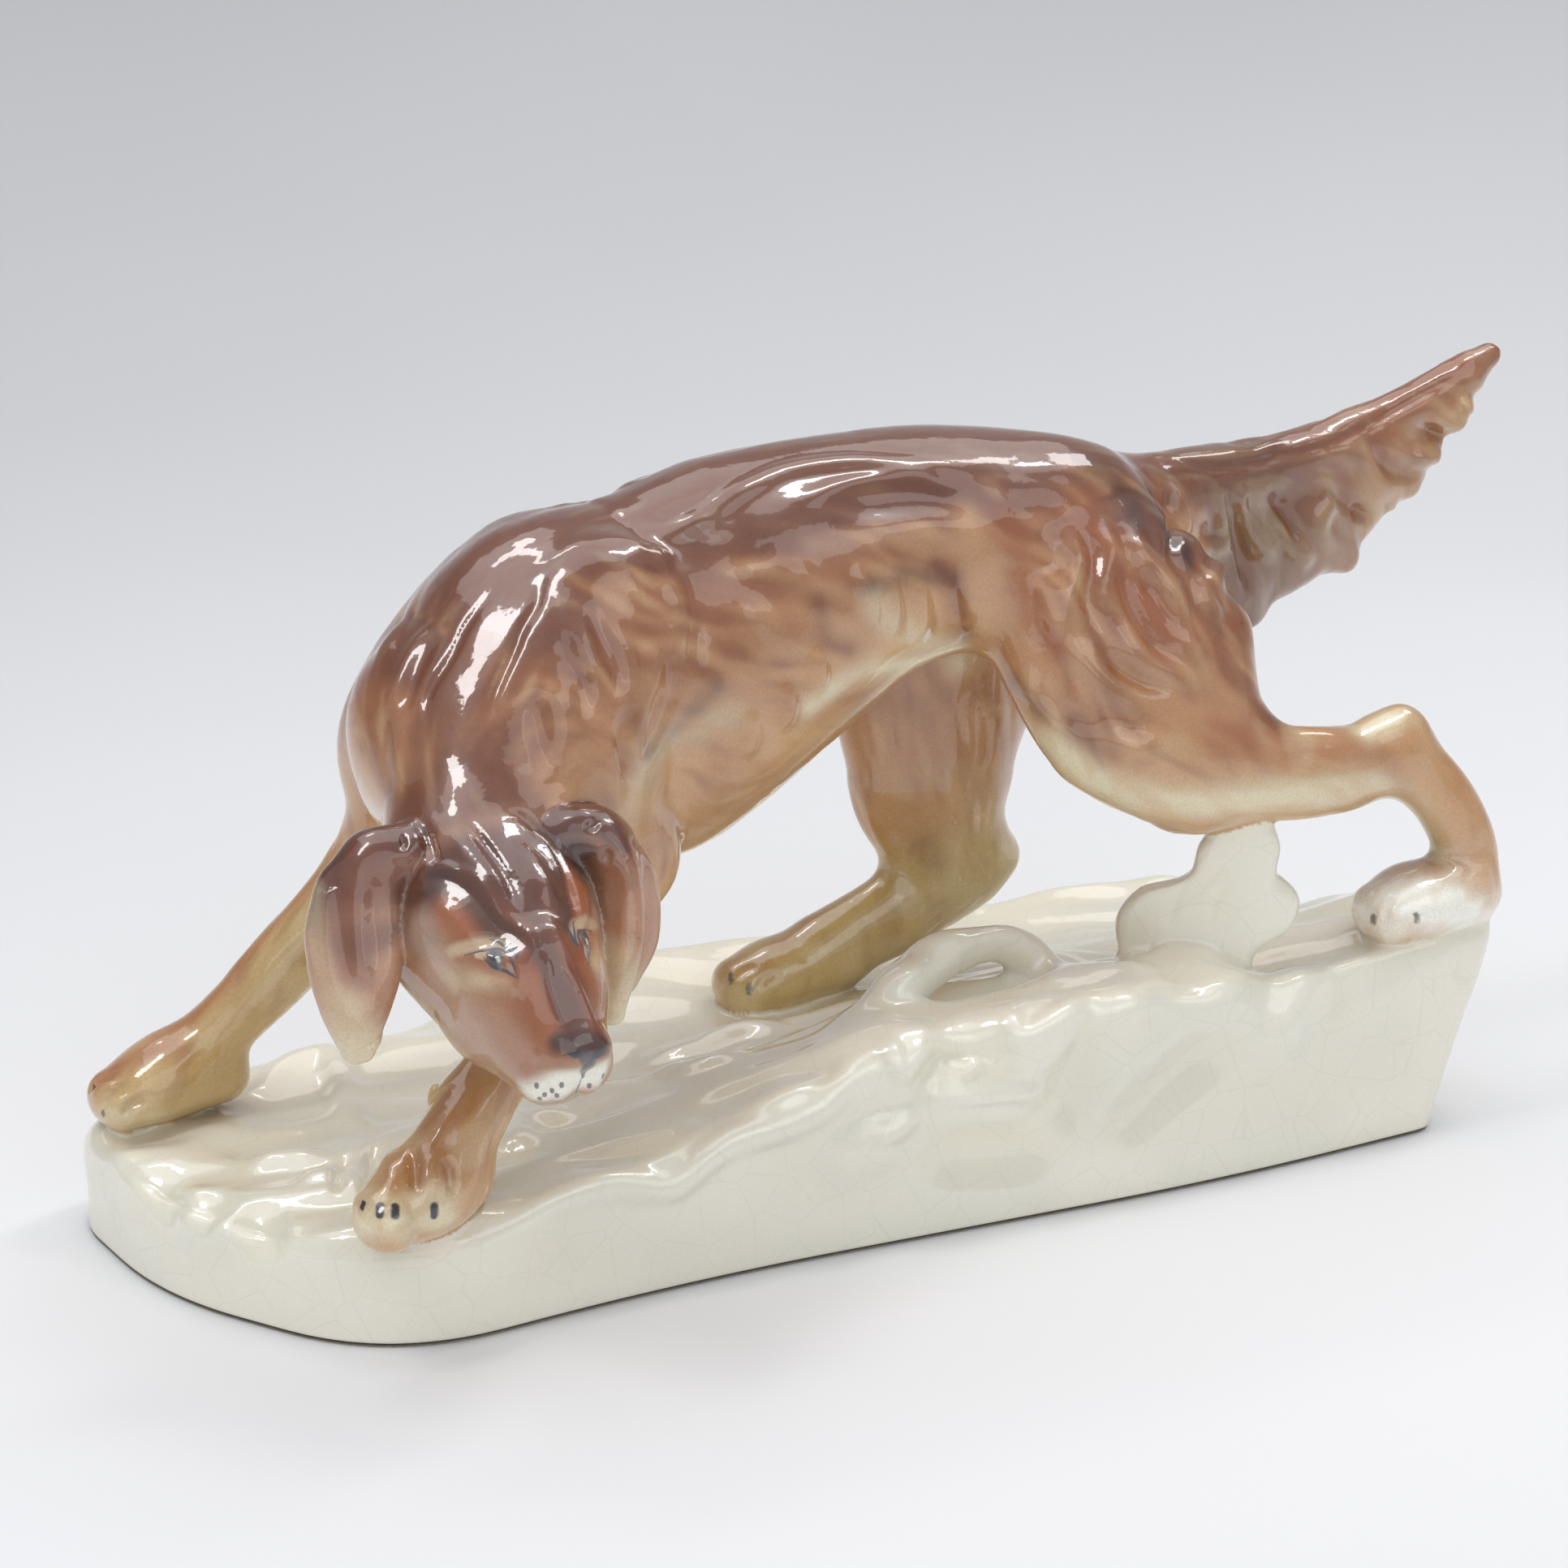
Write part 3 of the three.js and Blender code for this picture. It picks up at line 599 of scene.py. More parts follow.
left_ear_roll = Mass(
    [(-73, -45, 108, 5, 5.5), (-68, -46, 99, 5, 5.5), (-69, -48, 88, 4.5, 6), (-74, -51, 80, 4, 4)], blend=5
)
left_ear_root = Mass([(-82, -39, 106, 6, 6), (-80, -40, 97, 5.5, 5), (-80, -41, 87, 4.5, 4.5)], across=(0.05, -1, 0))

limbs = {
    "left_foreleg": [left_forearm, left_forepaw],
    "right_foreleg": [right_forearm, right_forepaw],
    "left_hind_leg": [left_gaskin, left_hock, left_cannon, left_hindpaw],
    "right_hind_leg": [right_shank, right_hock, right_cannon, right_hindpaw],
    "tail": [tail_bone, tail_feather, *tail_tufts],
}
body_forms = [trunk, brisket, neck, left_shoulder, right_shoulder, left_haunch, right_haunch]
for forms in limbs.values():
    body_forms = body_forms + forms
head_forms = [neck, skull, cheeks, muzzle, bridge, *upper_lips, chin, nose]
ear_forms = {"right_ear": [right_ear, right_ear_root], "left_ear": [left_ear, left_ear_top, left_ear_roll, left_ear_root]}
rock_forms = {
    "base": [rock(0, 0), bank, rim_root, pocket, wall_crease, rim_scoop],
    "root_arch": [root_arch],
    "leaf_prop": [leaf_prop],
    "ground_leaf": [ground_leaf],
}
seams = {
    "head": ((-84, -16, 117), (-0.58, -0.54, -0.6), 90),
    "left_foreleg": ((-61, -22, 88), (-0.6, 0, -0.8), 30),
    "right_foreleg": ((-86, 36, 84), (-0.55, 0.22, -0.8), 30),
    "left_hind_leg": ((87, -44, 103), (0.68, -0.28, -0.67), 56),
    "right_hind_leg": ((57, 22, 84), (0, 0, -1), 60),
    "tail": ((105, -3, 149), (1, 0, 0.1), 40),
}
glaze_fillet = 1.6


def parts_field(p):
    """Distances to the body, the head, each ear and each part of the plinth."""
    out = {"body": field(body_forms, p), "head": field(head_forms, p)}
    for name, forms in {**ear_forms, **rock_forms}.items():
        out[name] = field(forms, p)
    return out


def join(parts):
    dog = np.minimum(parts["body"], parts["head"])
    for name in ear_forms:
        dog = soft_min(dog, parts[name], 1.2)
    ground = parts["base"]
    for name in ("root_arch", "leaf_prop", "ground_leaf"):
        ground = soft_min(ground, parts[name], 2.0)
    return soft_min(dog, ground, glaze_fillet)


def figure(p):
    return join(parts_field(p))


workers = ThreadPoolExecutor(4)


def in_blocks(function, p, size=12000):
    blocks = [p[i:i + size] for i in range(0, len(p), size)]
    return np.concatenate(list(workers.map(function, blocks)))


def surface_net(function, low, high, size):
    """Closed net of quads where the function is zero, found on a coarse grid and then a fine one."""
    low, high = np.asarray(low, float), np.asarray(high, float)
    fine = 4
    coarse = np.ceil((high - low) / (size * fine)).astype(int)
    axes = [low[i] + np.arange(coarse[i] + 1) * size * fine for i in range(3)]
    nodes = np.stack(np.meshgrid(*axes, indexing="ij"), -1).reshape(-1, 3)
    rough = in_blocks(function, nodes).reshape(coarse + 1)
    corner = [rough[a:coarse[0] + a, b:coarse[1] + b, c:coarse[2] + c]
              for a in (0, 1) for b in (0, 1) for c in (0, 1)]
    band = np.min(np.abs(corner), axis=0) < size * fine
    for q in corner[1:]:
        band |= (q < 0) != (corner[0] < 0)
    dense = np.repeat(np.repeat(np.repeat(corner[0], fine, 0), fine, 1), fine, 2).astype(np.float32)
    cells = np.argwhere(band)
    inner = np.stack(np.meshgrid(*[np.arange(fine)] * 3, indexing="ij"), -1).reshape(-1, 3)
    p = (low + (cells[:, None] * fine + inner) * size).reshape(-1, 3)
    values = in_blocks(function, p).reshape(-1, fine, fine, fine)
    split = dense.reshape(coarse[0], fine, coarse[1], fine, coarse[2], fine).transpose(0, 2, 4, 1, 3, 5)
    split[band] = values
    shape = np.array(dense.shape)
    inside = dense < 0
    hit = np.zeros(shape - 1, bool)
    first = inside[:-1, :-1, :-1]
    for a, b, c in ((0, 0, 1), (0, 1, 0), (0, 1, 1), (1, 0, 0), (1, 0, 1), (1, 1, 0), (1, 1, 1)):
        hit |= inside[a:shape[0] - 1 + a, b:shape[1] - 1 + b, c:shape[2] - 1 + c] != first
    where = np.argwhere(hit)
    number = np.full(shape - 1, -1, np.int32)
    number[tuple(where.T)] = np.arange(len(where))
    corners = np.array([(a, b, c) for a in (0, 1) for b in (0, 1) for c in (0, 1)])
    value = np.stack([dense[tuple((where + c).T)] for c in corners], 1).astype(float)
    total = np.zeros((len(where), 3))
    count = np.zeros(len(where))
    for i in range(8):
        for j in range(i + 1, 8):
            if np.abs(corners[i] - corners[j]).sum() != 1:
                continue
            cross = (value[:, i] < 0) != (value[:, j] < 0)
            t = value[cross, i] / (value[cross, i] - value[cross, j])
            total[cross] += corners[i] + (corners[j] - corners[i]) * t[:, None]
            count[cross] += 1
    verts = low + (where + total / count[:, None]) * size
    quads = []
    for axis in range(3):
        step = np.eye(3, dtype=int)[axis]
        near = [slice(None)] * 3
        far = [slice(None)] * 3
        near[axis] = slice(0, shape[axis] - 1)
        far[axis] = slice(1, None)
        change = np.argwhere(inside[tuple(near)] != inside[tuple(far)])
        u, v = np.eye(3, dtype=int)[(axis + 1) % 3], np.eye(3, dtype=int)[(axis + 2) % 3]
        ok = np.all((change - u - v >= 0) & (change < shape - 1), axis=1)
        change = change[ok]
        ring = np.stack([number[tuple((change - q).T)] for q in (u + v, v, 0 * u, u)], 1)
        start_inside = inside[tuple(change.T)]
        ring[~start_inside] = ring[~start_inside][:, ::-1]
        quads.append(ring[(ring >= 0).all(1)])
    return verts, np.vstack(quads)


def settle(function, p, limit, step=0.1):
    """Moves points onto the surface. Gives them with the outward direction there."""
    here = in_blocks(function, p)
    g = np.stack([in_blocks(function, p + e) - here for e in np.eye(3) * step], 1) / step
    for _ in range(2):
        move = (here / np.maximum((g * g).sum(1), 0.2))[:, None] * g
        length = np.linalg.norm(move, axis=1, keepdims=True)
        p = p - move * np.minimum(1, limit / np.maximum(length, 1e-9))
        here = in_blocks(function, p)
    return p, unit(g)


verts, quads = surface_net(figure, (-172, -92, -cell / 2), (224, 78, 186), cell)
ngons = []


def refine(select):
    """Splits the chosen quads in four. A neighbour that isn't chosen takes the new points on its edges."""
    global verts, quads, ngons
    chosen, rest = quads[select], quads[~select]
    edges = np.sort(np.stack([chosen, np.roll(chosen, -1, axis=1)], -1).reshape(-1, 2), axis=1)
    key = edges[:, 0].astype(np.int64) * len(verts) + edges[:, 1]
    unique, back = np.unique(key, return_inverse=True)
    middle = len(verts) + back.reshape(-1, 4)
    centre = len(verts) + len(unique) + np.arange(len(chosen))
    ends = np.stack([unique // len(verts), unique % len(verts)], 1)
    new_verts = np.vstack([verts, verts[ends].mean(1), verts[chosen].mean(1)])
    fours = []
    for i in range(4):
        fours.append(np.stack([chosen[:, i], middle[:, i], centre, middle[:, i - 1]], 1))
    rest_edges = np.sort(np.stack([rest, np.roll(rest, -1, axis=1)], -1), axis=2)
    rest_key = rest_edges[..., 0].astype(np.int64) * len(verts) + rest_edges[..., 1]
    place = np.clip(np.searchsorted(unique, rest_key), 0, len(unique) - 1)
    split = unique[place] == rest_key
    touched = split.any(1)
    for ring, cut, at in zip(rest[touched], split[touched], place[touched]):
        loop = []
        for i in range(4):
            loop.append(int(ring[i]))
            if cut[i]:
                loop.append(len(verts) + int(at[i]))
        ngons.append(loop)
    verts = new_verts
    quads = np.vstack([rest[~touched]] + fours)


def near_points(p, places, reach):
    out = np.zeros(len(p), bool)
    for place in places:
        out |= np.linalg.norm(p - np.asarray(place), axis=1) < reach
    return out


paws = [(-122, -40, 32), (-144, 51, 34)]
refine(near_points(verts[quads].mean(1), [on_head(-8, 0, 0)], 46) | near_points(verts[quads].mean(1), paws, 17))
refine(near_points(verts[quads].mean(1), [on_head(0, -12, 13), on_head(4, 8, 14), on_head(24, -1, 3)], 11))
verts, smooth_normals = settle(figure, verts, cell)


def evened(values, rounds):
    """Draws each vertex's value halfway to the mean of its neighbours, a few times over."""
    starts = np.concatenate([quads.ravel()] + [np.array(loop) for loop in ngons])
    ends = np.concatenate([np.roll(quads, -1, axis=1).ravel()] + [np.roll(loop, -1) for loop in ngons])
    count = np.bincount(starts, minlength=len(values)) + np.bincount(ends, minlength=len(values))
    for _ in range(rounds):
        mean = np.zeros_like(values)
        for axis in range(3):
            mean[:, axis] += np.bincount(starts, values[ends, axis], len(values)) / count
            mean[:, axis] += np.bincount(ends, values[starts, axis], len(values)) / count
        values = (values + mean) / 2
    return values


fettling = 5
verts = evened(verts, fettling)
smooth_normals = unit(evened(smooth_normals, fettling))

# The photograph's camera, found from the plinth's corners
frame_pixels = 1932
focal_pixels = 4893
camera_distance = 1050
camera_azimuth = math.radians(-32)
camera_elevation = math.radians(18)
look_at = np.array([60, 97, 60.0])
towards_camera = np.array([
    math.sin(camera_azimuth) * math.cos(camera_elevation),
    -math.cos(camera_azimuth) * math.cos(camera_elevation),
    math.sin(camera_elevation),
])
picture_right = np.array([math.cos(camera_azimuth), math.sin(camera_azimuth), 0])
picture_up = np.cross(towards_camera, picture_right)
camera_place = look_at + towards_camera * camera_distance


def seen_at(pixels):
    """Where the photograph's pixels fall on the smooth figure."""
    px = np.asarray(pixels, float) - frame_pixels / 2
    rays = unit(picture_right * px[:, :1] / focal_pixels - picture_up * px[:, 1:] / focal_pixels - towards_camera)
    travel = np.full(len(px), camera_distance - 300.0)
    for _ in range(150):
        travel += np.clip(figure(camera_place + rays * travel[:, None]) * 0.7, -4, 12)
    return camera_place + rays * travel[:, None]


class Stroke:
    """A line that follows the surface under pixels of the photograph, or under its mirror image."""

    waiting = []

    def __init__(self, pixels, half_width, amount=1.0, mirror=None, pigment=None, closed=False):
        self.pixels = pixels + pixels[:1] if closed else pixels
        self.half_width = half_width
        self.amount = amount
        self.mirror = mirror
        self.pigment = pigment
        Stroke.waiting.append(self)

    @staticmethod
    def place_all():
        """Finds every stroke's path on the surface in one go."""
        strokes = Stroke.waiting
        Stroke.waiting = []
        points = seen_at(np.vstack([np.asarray(s.pixels, float) for s in strokes]))
        start = 0
        for s in strokes:
            knots = points[start:start + len(s.pixels)]
            start += len(s.pixels)
            s.path = s.mirror(spline(knots, 5)) if s.mirror else spline(knots, 5)
        ends = np.cumsum([len(s.path) for s in strokes])
        path = np.vstack([s.path for s in strokes])
        for _ in range(3):
            path, outward = settle(figure, path, 4.0)
        for s, end in zip(strokes, ends):
            s.path, s.outward = path[end - len(s.path):end], outward[end - len(s.path):end]
            s.length = np.linalg.norm(np.diff(s.path, axis=0), axis=1).sum()
        return strokes

    def reach(self, p, normals, margin=1.0):
        """The points near the line, how far from it they are in half widths, and their place along it."""
        far = self.half_width * margin
        near = np.flatnonzero(np.all((p > self.path.min(0) - far) & (p < self.path.max(0) + far), axis=1))
        a, u = self.path[:-1], np.diff(self.path, axis=0)
        square = np.maximum((u * u).sum(1), 1e-9)
        q = p[near][:, None] - a
        t = np.clip((q * u).sum(2) / square, 0, 1)
        d = np.linalg.norm(q - u * t[..., None], axis=2)
        seg = d.argmin(1)
        d = d[np.arange(len(near)), seg]
        keep = (d < far) & ((normals[near] * self.outward[seg]).sum(1) > -0.1)
        along = (seg + t[np.arange(len(near)), seg]) / len(a)
        return near[keep], d[keep] / self.half_width, along[keep]


def bump(x):
    return np.clip(1 - x * x, 0, 1) ** 2


def taper(along, share=0.35):
    return smoothstep(np.minimum(along, 1 - along), -0.02, share)


trunk_middle_y = -3.0


def other_side(p):
    """The same place on the dog's other flank."""
    return p * (1, -1, 1) + (0, 2 * trunk_middle_y, 0)


def other_cheek(p):
    """The same place on the other half of the face."""
    d = p - between_eyes
    f, l, u = d @ forwards, d @ leftwards, d @ upwards
    turned = 2 * (face_middle(f)) - l
    return between_eyes + f[:, None] * forwards + turned[:, None] * leftwards + u[:, None] * upwards


# Folds and locks of the coat, as they run in the photograph
crown_valleys = [
    [(514, 1009), (526, 1030), (533, 1050), (540, 1067)],
    [(569, 1004), (592, 1035), (616, 1067), (630, 1091), (642, 1134)],
    [(616, 1004), (642, 1006), (674, 1035), (697, 1076), (711, 1122), (714, 1134)],
]
crown_straps = [
    [(534, 1020), (574, 1044), (604, 1080), (627, 1128)],
    [(636, 1030), (662, 1075), (684, 1120)],
    [(654, 1020), (680, 1055), (700, 1100)],
]
hair_cap_edge = [
    (485, 1088), (514, 1076), (540, 1069), (572, 1076), (601, 1105), (618, 1128), (640, 1140), (659, 1157),
    (671, 1180),
]
below_hair_cap = [(500, 1100), (540, 1086), (567, 1094), (592, 1120), (610, 1142), (632, 1158), (650, 1180)]
crown_dimple = [(493, 1038), (501, 1038)]
dimple_ring = [(483, 1038), (489, 1052), (503, 1052), (511, 1038), (503, 1024), (489, 1024)]
bridge_left = [(666, 1172), (673, 1186), (679, 1218), (690, 1248), (703, 1266)]
bridge_right = [(692, 1172), (698, 1193), (711, 1215), (729, 1252), (737, 1268)]
eye_sockets = [
    [(578, 1190), (612, 1196), (640, 1206)],
    [(560, 1176), (592, 1162), (622, 1162)],
]
right_eyeball = [(590, 1180), (622, 1187)]
cheek_fold = [(636, 1216), (640, 1250), (652, 1290), (664, 1320)]
lip_fold = [(612, 1262), (640, 1300), (668, 1326), (690, 1334)]
right_ear_ridges = [
    [(452, 1030), (436, 1080), (440, 1150), (452, 1230)],
    [(412, 1040), (398, 1100), (404, 1170), (420, 1240)],
]
right_ear_folds = [
    [(470, 1050), (462, 1110), (464, 1180), (468, 1240)],
    [(428, 1050), (418, 1110), (422, 1180), (436, 1250)],
]
left_ear_folds = [
    [(737, 1085), (732, 1140), (724, 1186)],
    [(762, 1060), (756, 1120), (752, 1200)],
]
left_ear_bumps = [[(722, 1012), (738, 1022)], [(738, 1050), (756, 1058)], [(778, 1030), (784, 1046)]]

neck_creases = [
    [(628, 687), (604, 730), (571, 777), (552, 815), (529, 852), (526, 876), (529, 966)],
    [(687, 687), (666, 720), (661, 744), (642, 777), (633, 800), (604, 871), (609, 885), (614, 966)],
]
neck_locks = [
    [(640, 840), (680, 860), (700, 900), (704, 950)],
    [(700, 720), (710, 780), (730, 820), (750, 815)],
    [(728, 760), (770, 800), (778, 850), (752, 890)],
    [(752, 900), (748, 930), (756, 966), (770, 990)],
    [(800, 760), (806, 820), (790, 880), (770, 940)],
    [(690, 960), (706, 1000), (730, 1010)],
    [(820, 700), (838, 760), (830, 820)],
    [(560, 740), (520, 790), (490, 850), (470, 910)],
    [(520, 720), (486, 780), (466, 830)],
    [(500, 860), (492, 920), (498, 980)],
]
neck_furrows = [
    [(660, 850), (664, 900), (680, 960)],
    [(720, 740), (742, 780), (764, 830), (760, 870)],
    [(780, 860), (766, 910), (774, 960)],
    [(838, 830), (815, 890), (786, 950)],
    [(690, 740), (700, 800), (720, 850), (716, 900)],
    [(540, 770), (508, 830), (494, 890)],
    [(860, 740), (856, 800), (862, 830)],
]
back_locks = [
    [(760, 665), (800, 680), (834, 690)],
    [(838, 640), (872, 652), (906, 640)],
    [(900, 690), (940, 700), (968, 680)],
    [(912, 740), (950, 770), (980, 820)],
    [(860, 780), (884, 830), (880, 880)],
    [(960, 690), (1000, 720), (1020, 770)],
]
back_ridge = [
    (756, 673), (798, 655), (822, 658), (865, 638), (917, 602), (969, 579), (1043, 569), (1118, 572), (1190, 572),
    (1237, 576),
]
lower_ridge = [(954, 632), (999, 613), (1043, 598), (1088, 590), (1133, 589), (1170, 598), (1192, 588)]
under_ridge = [(1010, 636), (1060, 622), (1133, 612), (1183, 616), (1226, 636)]
belly_locks = [
    [(1046, 700), (1070, 730), (1080, 780)],
    [(1090, 690), (1100, 740), (1104, 790)],
    [(1120, 700), (1136, 750), (1132, 800)],
    [(1160, 700), (1172, 740), (1186, 790)],
    [(996, 800), (1010, 830), (1000, 866)],
    [(960, 840), (972, 872), (960, 906)],
    [(920, 870), (926, 906), (912, 940)],
]
haunch_locks = [
    [(1306, 650), (1330, 690), (1318, 740), (1340, 786)],
    [(1344, 640), (1368, 676), (1360, 720), (1384, 760)],
    [(1390, 640), (1404, 680), (1440, 720), (1470, 770)],
    [(1416, 706), (1440, 740), (1462, 790), (1490, 830)],
    [(1370, 770), (1400, 806), (1440, 830), (1500, 860)],
    [(1300, 760), (1330, 810), (1370, 850), (1420, 880)],
    [(1250, 820), (1286, 866), (1330, 900)],
    [(1290, 700), (1296, 750), (1316, 790)],
    [(1340, 900), (1390, 920), (1440, 926)],
]
haunch_furrows = [
    [(1326, 650), (1346, 690), (1340, 740), (1362, 780)],
    [(1374, 690), (1390, 740), (1420, 790), (1450, 820)],
    [(1398, 700), (1430, 740), (1466, 800)],
    [(1350, 800), (1400, 836), (1460, 850)],
    [(1270, 830), (1310, 880), (1360, 900)],
]
tail_groove = [
    (1384, 566), (1430, 568), (1500, 576), (1560, 566), (1640, 548), (1700, 516), (1760, 482), (1820, 450), (1852, 428),
]
tail_locks = [
    [(1402, 574), (1440, 600), (1458, 650), (1452, 690)],
    [(1470, 580), (1500, 620), (1506, 670), (1496, 720), (1520, 760)],
    [(1530, 590), (1522, 620), (1556, 676), (1580, 690)],
    [(1600, 580), (1640, 610), (1626, 650), (1660, 690)],
    [(1640, 560), (1680, 570), (1700, 600), (1730, 606)],
    [(1700, 530), (1730, 560), (1760, 560), (1780, 540)],
    [(1760, 510), (1790, 520), (1800, 500), (1820, 490)],
    [(1560, 640), (1600, 680), (1620, 700)],
    [(1480, 700), (1486, 740), (1510, 772)],
]
tail_furrows = [
    [(1420, 576), (1440, 620), (1444, 680), (1468, 716)],
    [(1500, 600), (1520, 640), (1534, 700), (1540, 740)],
    [(1560, 600), (1590, 640), (1596, 690)],
    [(1620, 590), (1660, 620), (1690, 640)],
    [(1680, 550), (1716, 580), (1750, 590)],
    [(1740, 520), (1774, 536), (1800, 530)],
]
near_toe_grooves = [
    [(430, 1420), (420, 1450), (414, 1478)],
    [(462, 1412), (456, 1445), (452, 1472)],
    [(506, 1412), (510, 1446), (512, 1474)],
    [(548, 1424), (556, 1452), (556, 1478)],
]
near_toes = [
    [(444, 1412), (436, 1450), (432, 1476)],
    [(484, 1402), (482, 1442), (480, 1476)],
    [(530, 1408), (534, 1444), (534, 1476)],
]
far_toe_grooves = [
    [(160, 1336), (132, 1350), (122, 1366)],
    [(150, 1322), (120, 1330), (108, 1350)],
    [(190, 1350), (160, 1364), (150, 1380)],
]
right_hind_toe_grooves = [[(938, 1190), (916, 1196), (906, 1212)], [(962, 1200), (940, 1208), (934, 1226)]]
left_hind_toe_grooves = [[(1720, 1100), (1708, 1120), (1706, 1144)], [(1690, 1108), (1676, 1126), (1672, 1142)]]

rim_ridge = [
    (560, 1522), (620, 1512), (682, 1480), (760, 1461), (830, 1462), (874, 1426), (900, 1408), (993, 1380),
    (1040, 1340), (1050, 1318), (1110, 1310),
]
slope_ridges = [
    [(1082, 1282), (1100, 1300), (1112, 1320), (1138, 1300), (1150, 1310)],
    [(1120, 1358), (1180, 1350), (1260, 1345), (1320, 1352)],
    [(1240, 1240), (1256, 1280), (1310, 1250), (1350, 1220)],
    [(1150, 1332), (1200, 1320), (1215, 1300)],
    [(1060, 1392), (1100, 1388), (1140, 1370)],
]
slope_hollows = [
    [(1110, 1334), (1180, 1324), (1270, 1318)],
    [(1140, 1284), (1190, 1285), (1240, 1266)],
    [(1120, 1424), (1220, 1420), (1320, 1410)],
    [(1376, 1236), (1350, 1290), (1316, 1350), (1290, 1410)],
    [(1540, 1276), (1470, 1310), (1410, 1360), (1360, 1420)],
    [(1320, 1196), (1350, 1172), (1390, 1178)],
]
wall_ridges = [
    [(1412, 1196), (1392, 1240), (1364, 1300), (1344, 1390)],
    [(1530, 1226), (1450, 1280), (1390, 1340), (1370, 1390)],
    [(1000, 1440), (1060, 1420), (1130, 1390)],
    [(1600, 1180), (1590, 1260), (1560, 1330)],
]
ground_dents = [
    [(250, 1460), (256, 1490), (270, 1510)],
    [(300, 1480), (320, 1520), (330, 1560)],
    [(190, 1430), (200, 1470), (230, 1500)],
]
ground_ridges = [
    [(288, 1342), (340, 1330), (400, 1300), (450, 1290), (521, 1321)],
    [(300, 1430), (350, 1424), (410, 1430)],
    [(360, 1452), (400, 1450), (440, 1440)],
    [(760, 1300), (840, 1296), (920, 1270), (1000, 1262)],
    [(790, 1320), (860, 1320), (930, 1300)],
    [(600, 1390), (660, 1380), (720, 1372)],
]
arch_bark = [
    [(1100, 1250), (1130, 1210), (1180, 1160), (1230, 1140)],
    [(1115, 1260), (1150, 1225), (1190, 1180), (1240, 1160)],
    [(1268, 1150), (1290, 1200), (1270, 1250)],
]
leaf_veins = [
    [(1420, 1140), (1460, 1110), (1500, 1080), (1530, 1070)],
    [(1440, 1150), (1450, 1110), (1470, 1080)],
    [(1490, 1150), (1500, 1110), (1520, 1090)],
]
ground_leaf_vein = [(1457, 1170), (1500, 1186), (1540, 1208)]


def carved(lines, half_width, height, mirror=None):
    return [Stroke(line, half_width, height, mirror) for line in lines]


relief_strokes = (
    carved(crown_valleys, 2.2, -1.3)
    + carved(crown_straps, 4.6, 1.0)
    + carved([hair_cap_edge], 2.4, 0.6)
    + carved([below_hair_cap], 6.0, -1.2)
    + carved([crown_dimple], 2.6, -1.0)
    + carved([dimple_ring], 2.4, 0.6)
    + carved([bridge_left, bridge_right], 1.5, 0.35)
    + carved(eye_sockets, 3.0, -0.5)
    + carved(eye_sockets, 3.0, -0.5, other_cheek)
    + carved([right_eyeball], 3.2, 0.5)
    + carved([right_eyeball], 3.2, 0.5, other_cheek)
    + carved([cheek_fold, lip_fold], 3.5, -0.35)
    + carved(right_ear_ridges, 5.0, 0.5)
    + carved(right_ear_folds, 3.6, -0.5)
    + carved(left_ear_folds, 3.0, -0.7)
    + carved(left_ear_bumps, 2.4, -0.7)
    + carved(neck_creases, 2.0, -0.7)
    + carved(near_toe_grooves, 2.2, -1.7)
    + carved(near_toes, 3.2, 0.8)
    + carved(far_toe_grooves, 2.2, -1.5)
    + carved(right_hind_toe_grooves, 1.8, -0.8)
    + carved(left_hind_toe_grooves, 1.8, -0.8)
    + carved([rim_ridge], 5.0, 2.6)
    + carved(slope_ridges, 4.4, 2.4)
    + carved(slope_hollows, 11.0, -3.4)
    + carved(wall_ridges, 10.0, 2.8)
    + carved(ground_dents, 8.0, -2.6)
    + carved(ground_ridges, 6.0, 2.2)
    + carved(arch_bark, 1.4, -0.4)
    + carved(leaf_veins, 1.6, -0.4)
    + carved([ground_leaf_vein], 1.2, -0.4)
    + carved([tail_groove], 2.0, -1.0)
    + carved([under_ridge], 7.0, -1.6)
    + carved([under_ridge], 7.0, -1.6, other_side)
)
relief_strokes += carved(neck_locks, 4.8, 0.9) + carved(neck_furrows, 3.6, -1.0)
relief_strokes += carved([back_ridge], 4.2, 1.3) + carved([lower_ridge], 3.2, 0.8)
for side in (None, other_side):
    relief_strokes += carved(back_locks, 4.5, 0.8, side) + carved(belly_locks, 3.8, 1.4, side)
    relief_strokes += carved(haunch_locks, 4.6, 1.6, side) + carved(haunch_furrows, 3.0, -1.5, side)
    relief_strokes += carved(tail_locks, 4.2, 1.7, side) + carved(tail_furrows, 3.0, -1.7, side)


# Colour is laid on in coats over the ivory body, in the photograph's own colours
def photo_colour(*levels):
    """Linear colour from levels of 0 to 255."""
    v = np.array(levels) / 255
    return np.where(v < 0.04045, v / 12.92, ((v + 0.055) / 1.055) ** 2.4)


ivory = photo_colour(242, 238, 222)
warm_ivory = photo_colour(233, 225, 195)
green_grey = photo_colour(222, 221, 205)
cream = photo_colour(226, 212, 176)
olive = photo_colour(194, 174, 118)
fawn = photo_colour(197, 147, 102)
mauve = photo_colour(170, 119, 87)
rust = photo_colour(156, 82, 42)
saturated_brown = photo_colour(120, 62, 34)
chocolate = photo_colour(92, 46, 30)
saddle = photo_colour(152, 88, 50)
sand = photo_colour(214, 186, 150)
umber = photo_colour(58, 28, 18)
slate = photo_colour(62, 66, 80)
ink = photo_colour(36, 36, 46)
iris = photo_colour(88, 78, 74)

